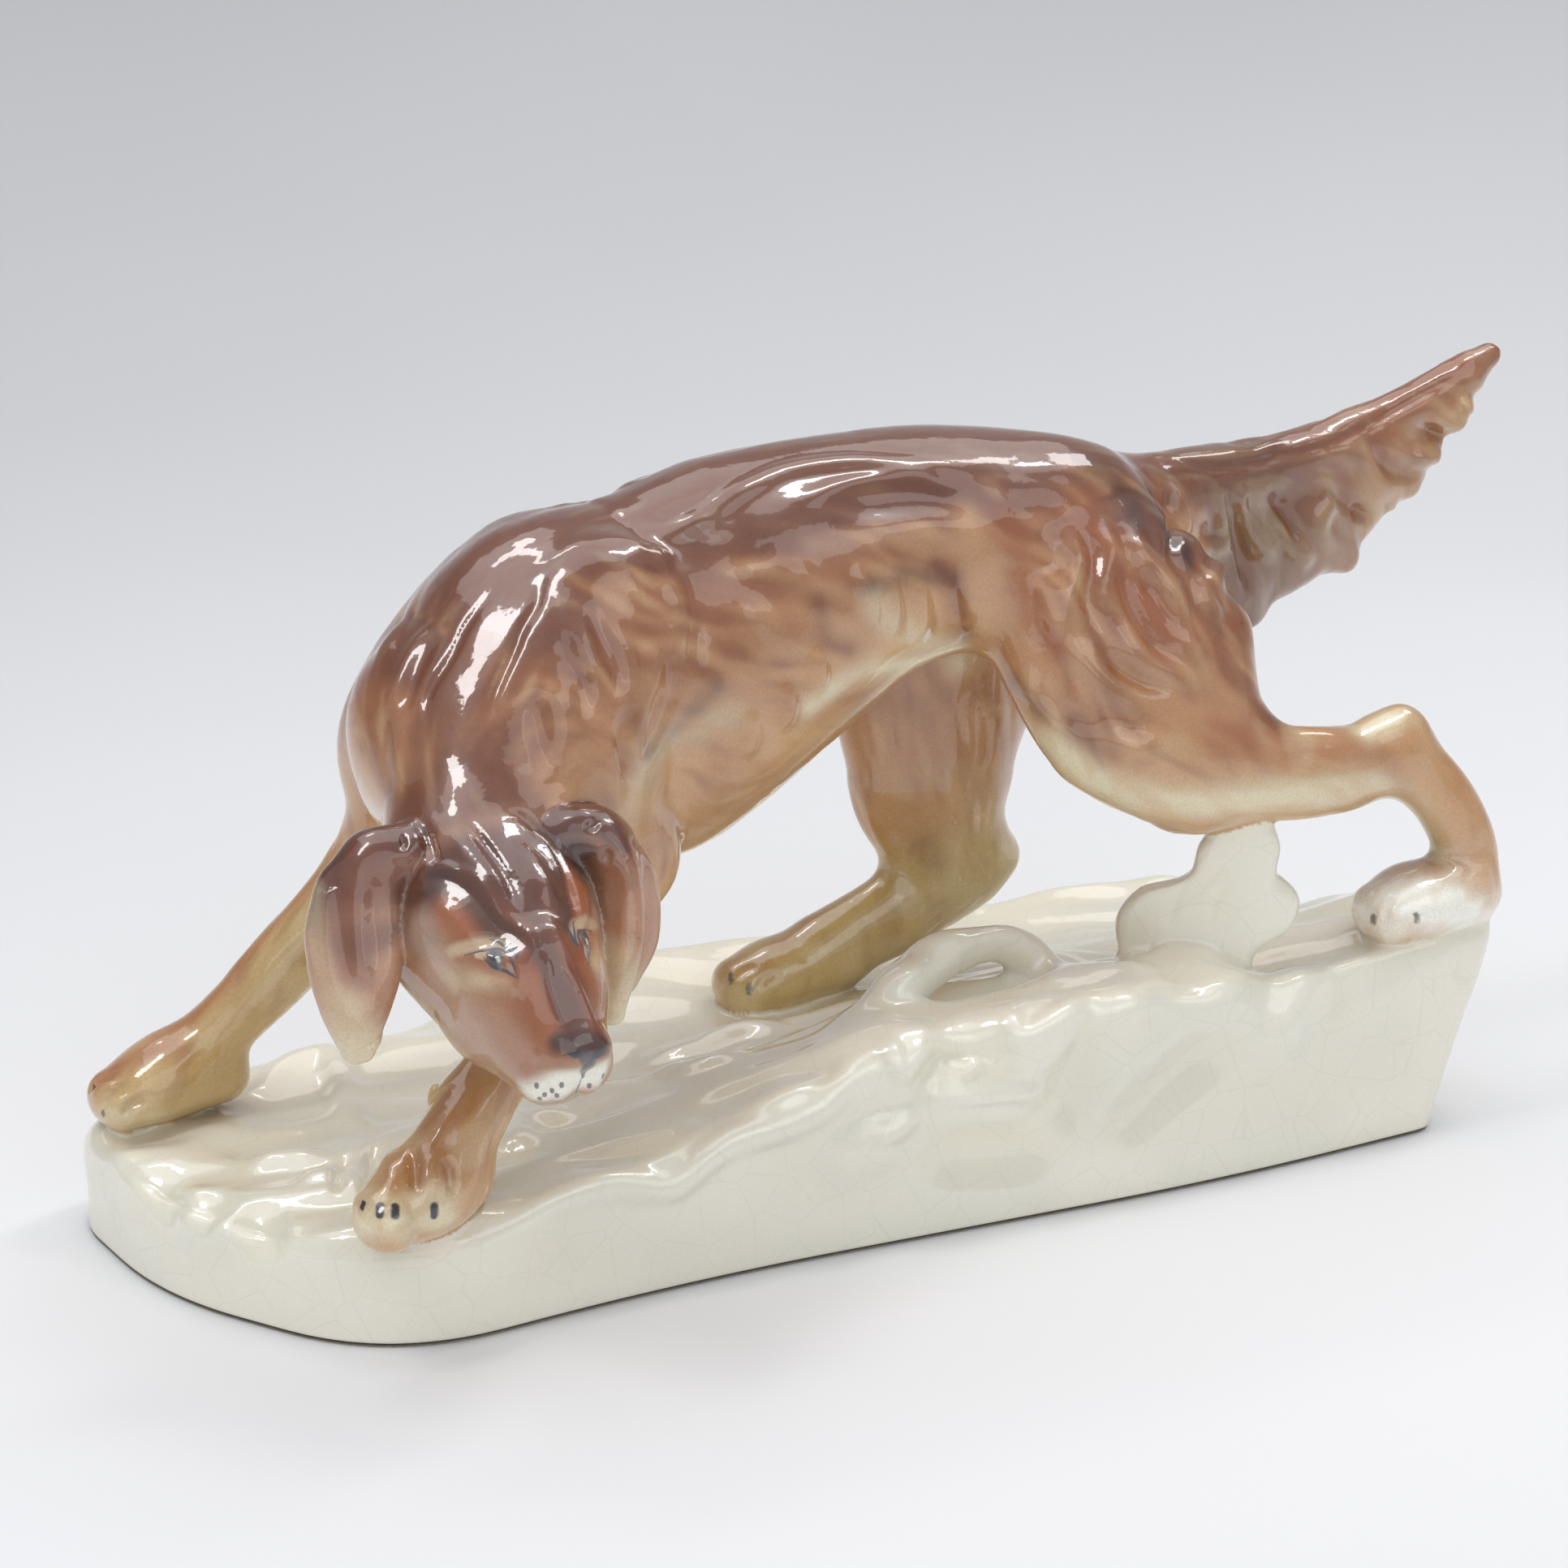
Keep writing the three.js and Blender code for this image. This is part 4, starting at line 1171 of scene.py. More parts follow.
right_upper_lid = [(572, 1177), (586, 1173), (600, 1170), (612, 1168), (622, 1172), (629, 1181), (634, 1193), (638, 1204)]
right_lower_lid = [(596, 1179), (603, 1188), (612, 1193), (622, 1196), (630, 1201), (638, 1206)]
right_iris = [(609, 1176), (611, 1184)]
right_pupil = [(608, 1176), (609, 1180)]
# A small pale spot on the iris is a painted highlight
right_eye_painted_highlight = [(614, 1181), (615, 1184)]
right_eye_white = [(588, 1176), (597, 1178)]
right_inner_corner = [(624, 1186), (632, 1198)]
right_eyelid = [(556, 1172), (576, 1166), (596, 1162), (614, 1162), (630, 1172)]
right_under_eye = [(548, 1204), (573, 1210), (600, 1208), (622, 1212)]
brow_strokes = [
    [(602, 1156), (611, 1158), (622, 1166), (634, 1176), (636, 1181)],
    [(629, 1159), (633, 1167), (637, 1173), (637, 1181)],
]
nostrils = [[(700, 1297), (708, 1298), (716, 1302)], [(735, 1300), (742, 1295)]]
nose_pad = [(690, 1284), (705, 1286), (725, 1286), (745, 1288)]
nose_front = [(722, 1302), (726, 1308), (724, 1316)]
philtrum = [(730, 1304), (722, 1316), (718, 1327)]
mouth_line = [(717, 1327), (711, 1342), (703, 1351), (690, 1357), (672, 1360), (663, 1359)]
lips = [(655, 1344), (680, 1340), (700, 1330), (730, 1326)]
lip_dots = [(661, 1338), (692, 1337), (680, 1344), (671, 1349), (686, 1350), (665, 1354), (743, 1326), (726, 1338)]
near_claws = [(447, 1485), (468, 1491), (487, 1492), (535, 1492)]
far_claws = [(127, 1372), (112, 1339)]
right_hind_claws = [(900, 1205), (923, 1218)]
left_hind_claws = [(1745, 1131), (1692, 1133)]



def painted(lines, half_width, pigment, strength=1.0, mirror=None, closed=False):
    return [Stroke(line, half_width, strength, mirror, pigment, closed) for line in lines]


def dots(places, half_length, half_width, pigment, strength):
    """Short upright dabs, their length given in pixels."""
    return painted([[(u, v - half_length), (u, v + half_length)] for u, v in places], half_width, pigment, strength)


soft_dabs = []
for side in (None, other_side):
    # Painted shade: a dark band under the back ridge, the coat's brown laid darker where the glaze shows no reflection
    soft_dabs += painted([[(1010, 640), (1100, 610), (1170, 606), (1230, 625)]], 7, saturated_brown, 0.8, side)
    soft_dabs += painted([[(1000, 668), (1100, 655), (1200, 668)]], 5, photo_colour(190, 152, 122), 0.4, side)
    # Painted shade: the same dark band under the back ridge, deeper still
    soft_dabs += painted([[(930, 662), (1000, 640), (1080, 622), (1160, 612), (1240, 618)]], 8, photo_colour(104, 54, 30), 0.8, side)
    soft_dabs += painted([[(1073, 722), (1113, 708), (1173, 712)]], 4, umber, 0.55, side)
    soft_dabs += painted([[(1153, 700), (1173, 722), (1187, 787)]], 4, saturated_brown, 0.7, side)
    soft_dabs += painted([[(1007, 740), (1020, 787), (1047, 800)]], 4, saturated_brown, 0.7, side)
    soft_dabs += painted([[(1076, 745), (1100, 770), (1130, 790), (1170, 800)]], 6, cream, 0.55, side)
    soft_dabs += painted([[(1000, 868), (1040, 838), (1100, 818), (1183, 818)]], 5, cream, 0.8, side)
    soft_dabs += painted([[(1193, 640), (1210, 690), (1240, 760), (1290, 830)]], 6, fawn, 0.7, side)
    soft_dabs += painted([[(1240, 640), (1262, 720), (1300, 790)]], 7, rust, 0.55, side)
    soft_dabs += painted([[(1340, 640), (1380, 700), (1440, 780)]], 10, rust, 0.55, side)
    soft_dabs += painted([[(1333, 570), (1387, 607), (1400, 643)]], 6, umber, 0.6, side)
    soft_dabs += painted([[(1417, 610), (1440, 650), (1463, 687)]], 5, umber, 0.7, side)
    soft_dabs += painted([[(1420, 860), (1470, 880), (1520, 880)]], 8, fawn, 0.6, side)
    soft_dabs += painted([[(1290, 915), (1350, 965), (1440, 990), (1560, 985), (1660, 970)]], 8, cream, 0.9, side)
    soft_dabs += painted([[(1327, 893), (1367, 927)]], 5, saturated_brown, 0.5, side)
    soft_dabs += painted([[(1253, 840), (1283, 877)]], 4, umber, 0.5, side)
    soft_dabs += painted([[(780, 1000), (800, 940), (850, 900), (900, 880)]], 7, cream, 0.35, side)
    soft_dabs += painted([[(800, 930), (840, 890), (880, 850)]], 4, umber, 0.35, side)
soft_dabs += painted([[(1060, 870), (1100, 866), (1130, 872)]], 7, saturated_brown, 0.4)
soft_dabs += painted([[(1140, 1040), (1152, 1064)]], 5, saturated_brown, 0.4)
soft_dabs += painted([[(1500, 900), (1600, 930), (1680, 930)]], 6, rust, 0.45)
soft_dabs += painted([[(1700, 930), (1740, 1000), (1752, 1060)]], 5, rust, 0.5)
soft_dabs += painted([[(1680, 900), (1712, 884)]], 6, cream, 0.9)
soft_dabs += painted([[(1690, 1130), (1730, 1108), (1790, 1116), (1822, 1140)]], 15, photo_colour(250, 247, 234), 1.0)
soft_dabs += painted([[(1690, 972), (1728, 988), (1752, 1012), (1766, 1050)]], 8, cream, 0.65)
soft_dabs += painted([[(960, 1160), (1010, 1120), (1060, 1060)]], 6, rust, 0.4)
soft_dabs += painted([[(900, 1190), (940, 1186)]], 6, rust, 0.35)
soft_dabs += painted([[(240, 1250), (290, 1190), (330, 1130)]], 6, rust, 0.35)
soft_dabs += painted([[(130, 1320), (170, 1300), (220, 1290)]], 5, rust, 0.45)
soft_dabs += painted([[(130, 1370), (180, 1380)]], 6, cream, 0.6)
soft_dabs += painted([[(480, 1320), (500, 1360), (500, 1400)]], 8, rust, 0.4)
soft_dabs += painted([[(430, 1500), (480, 1508), (550, 1500)]], 6, cream, 0.95)
soft_dabs += painted([[(426, 1470), (480, 1480), (560, 1470)]], 4, cream, 0.6)

face_dabs = []
for side in (None, other_cheek):
    face_dabs += painted([[(560, 1110), (600, 1146), (640, 1176)]], 6, rust, 0.8, side)
    face_dabs += painted([below_hair_cap], 3.6, umber, 0.8, side)
    face_dabs += painted([[(520, 1110), (510, 1140), (520, 1160)]], 5, umber, 0.65, side)
    face_dabs += painted([[(550, 1220), (572, 1250)]], 8, mauve, 0.3, side)
    face_dabs += painted([right_eyelid], 1.5, cream, 0.5, side)
    soft_dabs += painted([right_under_eye], 4.5, cream, 0.5, side)
    face_dabs += painted([[(520, 1150), (532, 1180), (536, 1210)]], 5, photo_colour(186, 154, 134), 0.7, side)
    face_dabs += painted([[(560, 1250), (590, 1280), (610, 1320)]], 5, photo_colour(190, 158, 134), 0.5, side)
    face_dabs += painted([[(646, 1180), (660, 1230), (674, 1270)]], 4, rust, 0.6, side)
    face_dabs += painted([[(640, 1240), (660, 1290), (676, 1316)]], 6, saddle, 0.5, side)
    face_dabs += painted([[(612, 1252), (630, 1290), (650, 1310)]], 5, mauve, 0.6, side)
face_dabs += painted([[(655, 1350), (680, 1342), (700, 1334), (735, 1324)]], 3.8, ivory, 1.0)
face_dabs += painted([[(690, 1334), (712, 1330), (740, 1318)]], 2.6, ivory, 0.8)
face_dabs += painted([[(664, 1164), (676, 1184), (690, 1222), (706, 1256), (716, 1270)]], 3.2, chocolate, 0.95)
face_dabs += painted([[(700, 1186), (720, 1226), (738, 1266)]], 2.4, saturated_brown, 0.9)
face_dabs += painted([nose_pad], 2.6, umber, 0.9)
face_dabs += painted([[(450, 1050), (436, 1100), (434, 1160), (440, 1200)], [(480, 1090), (500, 1080)]], 5, saturated_brown, 0.5)
face_dabs += painted([[(424, 1250), (434, 1270), (440, 1294)]], 6, cream, 0.5)
face_dabs += painted([[(388, 1100), (390, 1160), (404, 1220)]], 3, cream, 0.3)
face_dabs += painted([[(752, 1090), (750, 1140), (744, 1180)]], 5, mauve, 0.5)
face_dabs += painted([[(752, 1190), (764, 1220), (756, 1250)]], 6, cream, 0.6)

eye_paint = []
for side in (None, other_cheek):
    eye_paint += painted([right_eye_white], 0.8, cream, 0.55, side)
    eye_paint += painted([right_inner_corner], 0.6, photo_colour(168, 150, 134), 0.7, side)
    eye_paint += painted([right_iris], 1.7, iris, 1.0, side)
    eye_paint += painted([right_pupil], 0.8, ink, 0.8, side)
    # Painted highlight: a small pale spot on each iris
    eye_paint += painted([right_eye_painted_highlight], 0.4, green_grey, 0.6, side)
    eye_paint += painted([right_upper_lid, right_lower_lid], 0.34, slate, 0.95, side)
    eye_paint += painted(brow_strokes, 0.34, slate, 0.85, side)
    eye_paint += painted([brow_strokes[1]], 0.55, slate, 0.85, side)
fine_paint = (
    painted(nostrils, 1.0, ink, 0.95)
    + painted([nose_front], 1.6, slate, 0.75)
    + painted([philtrum], 1.0, slate, 0.8)
    + painted([mouth_line], 0.3, slate, 0.85)
    + dots(lip_dots, 1.2, 0.5, slate, 0.85)
    + dots(near_claws, 5.5, 0.95, ink, 1.0)
    + dots(far_claws + right_hind_claws + left_hind_claws, 4, 0.7, ink, 0.8)
)
Stroke.place_all()


def hashed(i, seed):
    h = (i[:, 0] * 374761393 + i[:, 1] * 668265263 + i[:, 2] * 1442695041 + seed * 974711) & 0xFFFFFFFF
    h = ((h ^ (h >> 13)) * 1274126177) & 0xFFFFFFFF
    return ((h ^ (h >> 16)) & 0xFFFF) / 32767.5 - 1


def noise_block(p, size, seed):
    q = p / size
    base = np.floor(q).astype(np.int64)
    f = q - base
    w = f * f * f * (f * (6 * f - 15) + 10)
    out = np.zeros(len(p))
    for a in (0, 1):
        for b in (0, 1):
            for c in (0, 1):
                weight = (w[:, 0] if a else 1 - w[:, 0]) * (w[:, 1] if b else 1 - w[:, 1])
                weight = weight * (w[:, 2] if c else 1 - w[:, 2])
                out += weight * hashed(base + (a, b, c), seed)
    return out


def noise(p, size, seed):
    """Smooth noise between -1 and 1 with lumps of about the given size."""
    return in_blocks(lambda q: noise_block(q, size, seed), p, 40000)


def streaks(p, flow, size, length, seed):
    """Noise drawn out along the flow."""
    taps = np.linspace(-1, 1, 9)
    out = sum(np.cos(t * 1.3) * noise(p + flow * (t * length / 2), size, seed) for t in taps)
    return out / 3.2


smooth = verts.copy()
groups = {"body": body_forms, "head": head_forms, **ear_forms, **rock_forms}
parts = {name: in_blocks(lambda q: field(forms, q), smooth) for name, forms in groups.items()}
dog_distance = np.minimum(parts["body"], parts["head"])
for name in ear_forms:
    dog_distance = np.minimum(dog_distance, parts[name])
ground_distance = np.min([parts[name] for name in rock_forms], axis=0)
on_dog = dog_distance < ground_distance

flow = np.zeros_like(smooth)
shag = np.zeros(len(smooth))
weights = np.full(len(smooth), 1e-6)
for form in body_forms + head_forms[1:] + [right_ear, left_ear, left_ear_roll]:
    near = np.flatnonzero(np.all((smooth > form.low) & (smooth < form.high), axis=1))
    w = np.exp(-np.maximum(form.distance(smooth[near]), 0) / 4)
    flow[near] += w[:, None] * form.hair
    shag[near] += w * form.shag
    weights[near] += w
shag = shag / weights * smoothstep(ground_distance, 1, 8)
flow -= (flow * smooth_normals).sum(1, keepdims=True) * smooth_normals
flow = unit(flow)

warped = smooth + 3.0 * np.stack([noise(smooth, 16, s) for s in (11, 12, 13)], 1)
locks = np.abs(streaks(warped, flow, 7.5, 24, 21))
strands = streaks(warped, flow, 2.8, 14, 22)
relief = shag * on_dog * ((locks - 0.3) * 1.7 + strands * 0.22)
ripples = streaks(smooth + 4 * np.stack([noise(smooth, 30, s) for s in (31, 32, 33)], 1),
                  np.tile(unit((0.9, -0.3, 0.2)), (len(smooth), 1)), 9, 30, 34)
top = smoothstep(smooth_normals[:, 2], 0.2, 0.8)
hammered = noise(smooth, 22, 35) * 0.9
relief = relief + ~on_dog * (ripples * 1.5 * top + hammered) * smoothstep(smooth[:, 2], 2, 14)
for stroke in relief_strokes:
    near, off, along = stroke.reach(smooth, smooth_normals)
    relief[near] += stroke.amount * bump(off) * taper(along)
verts = evened(smooth + smooth_normals * relief[:, None], 3)
verts = np.clip(verts, np.array(cad_box[0]) * 1000 - shift, np.array(cad_box[1]) * 1000 - shift)


def vertex_normals(p, quads, ngons):
    total = np.zeros_like(p)
    a, b, c, d = (p[quads[:, i]] for i in range(4))
    face = np.cross(c - a, d - b)
    for i in range(4):
        for axis in range(3):
            total[:, axis] += np.bincount(quads[:, i], face[:, axis], len(p))
    for loop in ngons:
        q = p[loop]
        face = np.cross(q[2] - q[0], q[-1] - q[1])
        total[loop] += face
    return unit(total)


normals = vertex_normals(verts, quads, ngons)

colour = np.tile(ivory, (len(verts), 1))


def glaze(mask, pigment, where=None):
    """Lays a pigment over what is there, as thick as the mask says."""
    m = np.clip(mask, 0, 1)[:, None]
    if where is None:
        colour[:] = colour * (1 - m) + pigment * m
    else:
        colour[where] = colour[where] * (1 - m) + pigment * m


broad = noise(smooth, 26, 41)
patchy = noise(smooth, 9, 42)
brushed = streaks(warped, flow, 3.0, 16, 43)
fine_brush = streaks(smooth, flow, 1.2, 7, 44)
up = smooth_normals[:, 2]
height = smooth[:, 2]
head_place = (smooth - between_eyes) @ forwards
on_face = on_dog * (parts["head"] < parts["body"] + 0.5) * smoothstep(head_place, -34, -24)
# Darker in the hollows of the relief: glaze pooled there, and painted shade
pooled_glaze_and_shade = smoothstep(-relief, -0.1, 0.9)
raised_tint = smoothstep(relief, 0.1, 0.9)


def legs_share(names):
    near = np.min([in_blocks(lambda q: field(limbs[n], q), smooth) for n in names], axis=0)
    return smoothstep(-near, -3, 1)


fore_share = legs_share(["left_foreleg", "right_foreleg"])
hind_share = legs_share(["left_hind_leg", "right_hind_leg"])
tail_share = legs_share(["tail"])
leg_share = np.maximum(fore_share, hind_share)

ground = (~on_dog).astype(float)
glaze(ground * smoothstep(top + 0.4 * broad + 0.3 * patchy, 0.5, 1.2) * 0.12, warm_ivory)
glaze(ground * top * smoothstep(noise(smooth, 34, 51) + 0.3 * patchy, 0.1, 0.7) * 0.3, green_grey)
# Warmer tint in the plinth's hollows: pooled glaze and painted shade
glaze(ground * pooled_glaze_and_shade * 0.2, warm_ivory)
# Painted shade: the plinth darkens to a sandy tone close to the dog, as its contact shadow
glaze(ground * np.exp(-np.maximum(dog_distance, 0) / 5) * 0.2, photo_colour(204, 188, 146))
glaze(ground * (1 - top) * 0.35 * smoothstep(broad, -0.4, 0.6), green_grey)

body = on_dog * (1 - on_face)
glaze(body * 1.0, fawn)
glaze(body * smoothstep(up + 0.12 * patchy + 0.12 * brushed, -0.4, 0.1) * 0.75 * (1 - leg_share), mauve)
glaze(body * smoothstep(0.15 * broad + 0.35 * brushed + up, -0.05, 0.6) * 0.75 * (1 - leg_share), saturated_brown)
glaze(body * smoothstep(up + 0.08 * patchy + 0.1 * brushed, 0.42, 0.72) * 0.9 * (1 - leg_share), chocolate)
glaze(body * smoothstep(-up + 0.3 * patchy, 0.35, 0.9) * 0.24 * (1 - tail_share), cream)
underneath = smoothstep(-up + 0.5 * patchy, 0, 0.6)
glaze(body * underneath * (1 - leg_share) * (1 - tail_share) * 0.35, saddle)
glaze(body * leg_share * smoothstep(up - 0.3 + 0.25 * patchy + 0.2 * broad, -0.5, 0.5) * 0.15, rust)
inner = smoothstep(smooth_normals[:, 1] * np.where(smooth[:, 1] < trunk_middle_y, 1, -1), -0.1, 0.6)
glaze(body * leg_share * inner * 0.7, olive)
glaze(body * hind_share * (smooth[:, 1] > 0) * 0.7, olive)
glaze(body * leg_share * smoothstep(patchy + 0.4 * broad, 0.1, 0.7) * 0.35, cream)
glaze(body * tail_share * smoothstep(up + 0.2 * patchy, -0.1, 0.5) * 0.7, saturated_brown)
glaze(body * tail_share * smoothstep(0.5 * brushed + 0.4 * patchy, -0.2, 0.5) * 0.45, rust)
tail_hem = smoothstep(150 + 0.16 * (smooth[:, 0] - 110) - height + 3 * patchy, 4, 20)
glaze(body * tail_share * tail_hem * 0.4, cream)
glaze(body * tail_share * 0.6, photo_colour(140, 88, 62))
glaze(body * tail_share * smoothstep(-smooth[:, 0] + 6 * patchy, -176, -132) * 0.92, photo_colour(86, 46, 32))
glaze(body * smoothstep(brushed + 0.3 * fine_brush, 0.15, 0.7) * 0.36 * (0.4 + shag), saturated_brown)
glaze(body * smoothstep(-brushed - 0.3 * fine_brush, 0.2, 0.8) * 0.12 * (0.4 + shag), cream)
# Darker brown in the hollows of the coat: pooled glaze and painted shade
glaze(body * pooled_glaze_and_shade * 0.45 * shag, saturated_brown)
glaze(body * raised_tint * 0.22 * shag, cream)

# Light comes back through the thin transparent glaze
thinness = np.array([0.87, 0.92, 1.0])
colour = colour ** (1 - (1 - thinness) * body[:, None])

head_up = smooth_normals @ upwards
glaze(on_face * 1.0, photo_colour(170, 126, 94))
glaze(on_face * smoothstep(-head_up + 0.2 * patchy, 0.1, 0.7) * 0.5, cream)
glaze(on_face * smoothstep(head_up + 0.1 * patchy, 0.1, 0.75) * 0.8, saddle)
cap_edge = [(-40, 20), (-24, 13.5), (-19, 10.5), (-6, 6.5), (0, 4.6), (6, 3.3), (24, 3.4)]
cap_width = np.interp(head_place, *np.transpose(cap_edge))
from_middle = np.abs((smooth - between_eyes) @ leftwards - face_middle(head_place))
on_top = smoothstep((smooth - between_eyes) @ upwards, 6, 9) * smoothstep(23 - head_place, -2, 1)
glaze(on_face * on_top * smoothstep(cap_width - from_middle + 0.5 * patchy, -1.2, 0.8), chocolate)
ears = on_dog * (np.minimum(parts["right_ear"], parts["left_ear"]) < dog_distance + 0.3)
glaze(ears * 1.0, photo_colour(182, 134, 104))
glaze(ears * smoothstep(height + 5 * patchy, 92, 112) * 0.7, saturated_brown)
glaze(ears * smoothstep(up + 0.1 * patchy, 0.35, 0.6), chocolate)
glaze(ears * smoothstep(-height + 3 * patchy, -84, -72) * 0.8, cream)

for stroke in soft_dabs:
    near, off, along = stroke.reach(smooth, smooth_normals, 1.6)
    mask = np.exp(-(off * 1.5) ** 2) * (1 + 0.5 * brushed[near])
    glaze(stroke.amount * mask * on_dog[near], stroke.pigment, near)
for stroke in face_dabs:
    near, off, along = stroke.reach(smooth, smooth_normals, 1.6)
    mask = smoothstep(-off + 0.12 * patchy[near], -1.45, -0.3)
    glaze(stroke.amount * mask * on_dog[near], stroke.pigment, near)
for stroke in eye_paint + fine_paint:
    near, off, along = stroke.reach(smooth, smooth_normals, 1.5)
    width = 0.3 + 0.7 * taper(along, 0.4) if stroke.length > 2.5 * stroke.half_width else 1
    mask = smoothstep(-off / width, -1.25, -0.75)
    glaze(stroke.amount * mask, stroke.pigment, near)
foot_line = smoothstep(1.2 - height, 0, 0.9)
glaze(ground * foot_line * 0.8, photo_colour(150, 140, 124))

labels = np.array(["torso"] * len(verts), dtype=object)


def past_seam(p, name):
    at, towards, reach = seams[name]
    d = p - np.asarray(at)
    along = d @ unit(towards)
    side = np.linalg.norm(d - along[:, None] * unit(towards), axis=1)
    return (along > 0) & (side < reach)


for name, forms in limbs.items():
    own = in_blocks(lambda q: field(forms, q), smooth)
    labels[past_seam(smooth, name) & (own < parts["head"] + 0.5) & (own < 8)] = name
labels[past_seam(smooth, "head") & (parts["head"] < parts["body"] + 1e-3)] = "head"
dog_only = np.minimum(parts["body"], parts["head"])
for name in ear_forms:
    labels[parts[name] < dog_only] = name
ground_names = list(rock_forms)
nearest = np.argmin([parts[name] for name in ground_names], axis=0)
for i, name in enumerate(ground_names):
    labels[~on_dog & (nearest == i)] = name


def mesh_piece(name, p, faces, colours, point_normals):
    """A Blender mesh from points in millimetres and a list of faces of any length."""
    lengths = np.array([len(f) for f in faces]) if not isinstance(faces, np.ndarray) else np.full(len(faces), 4)
    loops = np.concatenate([np.asarray(f) for f in faces]) if not isinstance(faces, np.ndarray) else faces.ravel()
    mesh = bpy.data.meshes.new(name)
    mesh.vertices.add(len(p))
    mesh.vertices.foreach_set("co", ((p + shift) / 1000).astype(np.float32).ravel())
    mesh.loops.add(len(loops))
    mesh.loops.foreach_set("vertex_index", loops.astype(np.int32))
    mesh.polygons.add(len(lengths))
    starts = np.concatenate([[0], np.cumsum(lengths)[:-1]])
    mesh.polygons.foreach_set("loop_start", starts.astype(np.int32))
    mesh.polygons.foreach_set("use_smooth", np.ones(len(lengths), bool))
    mesh.update(calc_edges=True)
    attribute = mesh.color_attributes.new("paint", "FLOAT_COLOR", "POINT")
    rgba = np.ones((len(p), 4), np.float32)
    rgba[:, :3] = colours
    attribute.data.foreach_set("color", rgba.ravel())
    if point_normals is not None:
        mesh.normals_split_custom_set_from_vertices(point_normals.astype(np.float32))
    piece = bpy.data.objects.new(name, mesh)
    bpy.context.scene.collection.objects.link(piece)
    return piece


def part_of(label):
    chosen = labels[quads[:, 0]] == label
    own_quads = quads[chosen]
    own_ngons = [loop for loop in ngons if labels[loop[0]] == label]
    used = np.unique(np.concatenate([own_quads.ravel()] + [np.asarray(g) for g in own_ngons]))
    number = np.full(len(verts), -1)
    number[used] = np.arange(len(used))
    if own_ngons:
        faces = [number[q] for q in own_quads] + [number[np.asarray(g)] for g in own_ngons]
    else:
        faces = number[own_quads]
    return verts[used], faces, colour[used], normals[used]


def noise_texture(tree, place, scale, detail):
    node = tree.nodes.new("ShaderNodeTexNoise")
    node.inputs["Scale"].default_value = scale
    node.inputs["Detail"].default_value = detail
    tree.links.new(place, node.inputs["Vector"])
    return node.outputs["Fac"]


def ramp(tree, value, low, high, from_level, to_level):
    node = tree.nodes.new("ShaderNodeMapRange")
    node.inputs["From Min"].default_value = low
    node.inputs["From Max"].default_value = high
    node.inputs["To Min"].default_value = from_level
    node.inputs["To Max"].default_value = to_level
    tree.links.new(value, node.inputs["Value"])
    return node.outputs["Result"]


def multiplied(tree, paint, factor):
    node = tree.nodes.new("ShaderNodeVectorMath")
    node.operation = "SCALE"
    tree.links.new(paint, node.inputs[0])
    tree.links.new(factor, node.inputs["Scale"])
    return node.outputs["Vector"]


def glazed_material(name, crazed, grain_depth):
    """Painted porcelain: colour under a clear coat that is very slightly uneven."""
    material = bpy.data.materials.new(name)
    material.use_nodes = True
    tree = material.node_tree
    shader = tree.nodes["Principled BSDF"]
    paint = tree.nodes.new("ShaderNodeVertexColor")
    paint.layer_name = "paint"
    place = tree.nodes.new("ShaderNodeTexCoord").outputs["Object"]
    grain = noise_texture(tree, place, 1600, 3)
    sprayed = multiplied(tree, paint.outputs["Color"], ramp(tree, grain, 0.3, 0.7, 1 - grain_depth, 1 + grain_depth))
    if crazed:
        cracks = tree.nodes.new("ShaderNodeTexVoronoi")
        cracks.feature = "DISTANCE_TO_EDGE"
        cracks.inputs["Scale"].default_value = 90
        tree.links.new(place, cracks.inputs["Vector"])
        sprayed = multiplied(tree, sprayed, ramp(tree, cracks.outputs["Distance"], 0.0, 0.02, 0.94, 1.0))
    tree.links.new(sprayed, shader.inputs["Base Color"])
    tree.links.new(ramp(tree, noise_texture(tree, place, 90, 2), 0.3, 0.7, 0.28, 0.42), shader.inputs["Roughness"])
    peel = tree.nodes.new("ShaderNodeBump")
    peel.inputs["Strength"].default_value = 0.12
    peel.inputs["Distance"].default_value = 0.0006
    tree.links.new(noise_texture(tree, place, 260, 2), peel.inputs["Height"])
    tree.links.new(peel.outputs["Normal"], shader.inputs["Normal"])
    tree.links.new(peel.outputs["Normal"], shader.inputs["Coat Normal"])
    shader.inputs["Coat Weight"].default_value = 1.0
    shader.inputs["Coat Roughness"].default_value = 0.055
    shader.inputs["Coat IOR"].default_value = 1.7
    return material


def bare_clay(name):
    """The foot ring, which has no glaze."""
    material = bpy.data.materials.new(name)
    material.use_nodes = True
    tree = material.node_tree
    shader = tree.nodes["Principled BSDF"]
    place = tree.nodes.new("ShaderNodeTexCoord").outputs["Object"]
    paint = tree.nodes.new("ShaderNodeVertexColor")
    paint.layer_name = "paint"
    gritty = multiplied(tree, paint.outputs["Color"], ramp(tree, noise_texture(tree, place, 900, 5), 0.3, 0.7, 0.82, 1.08))
    tree.links.new(gritty, shader.inputs["Base Color"])
    shader.inputs["Roughness"].default_value = 0.85
    return material


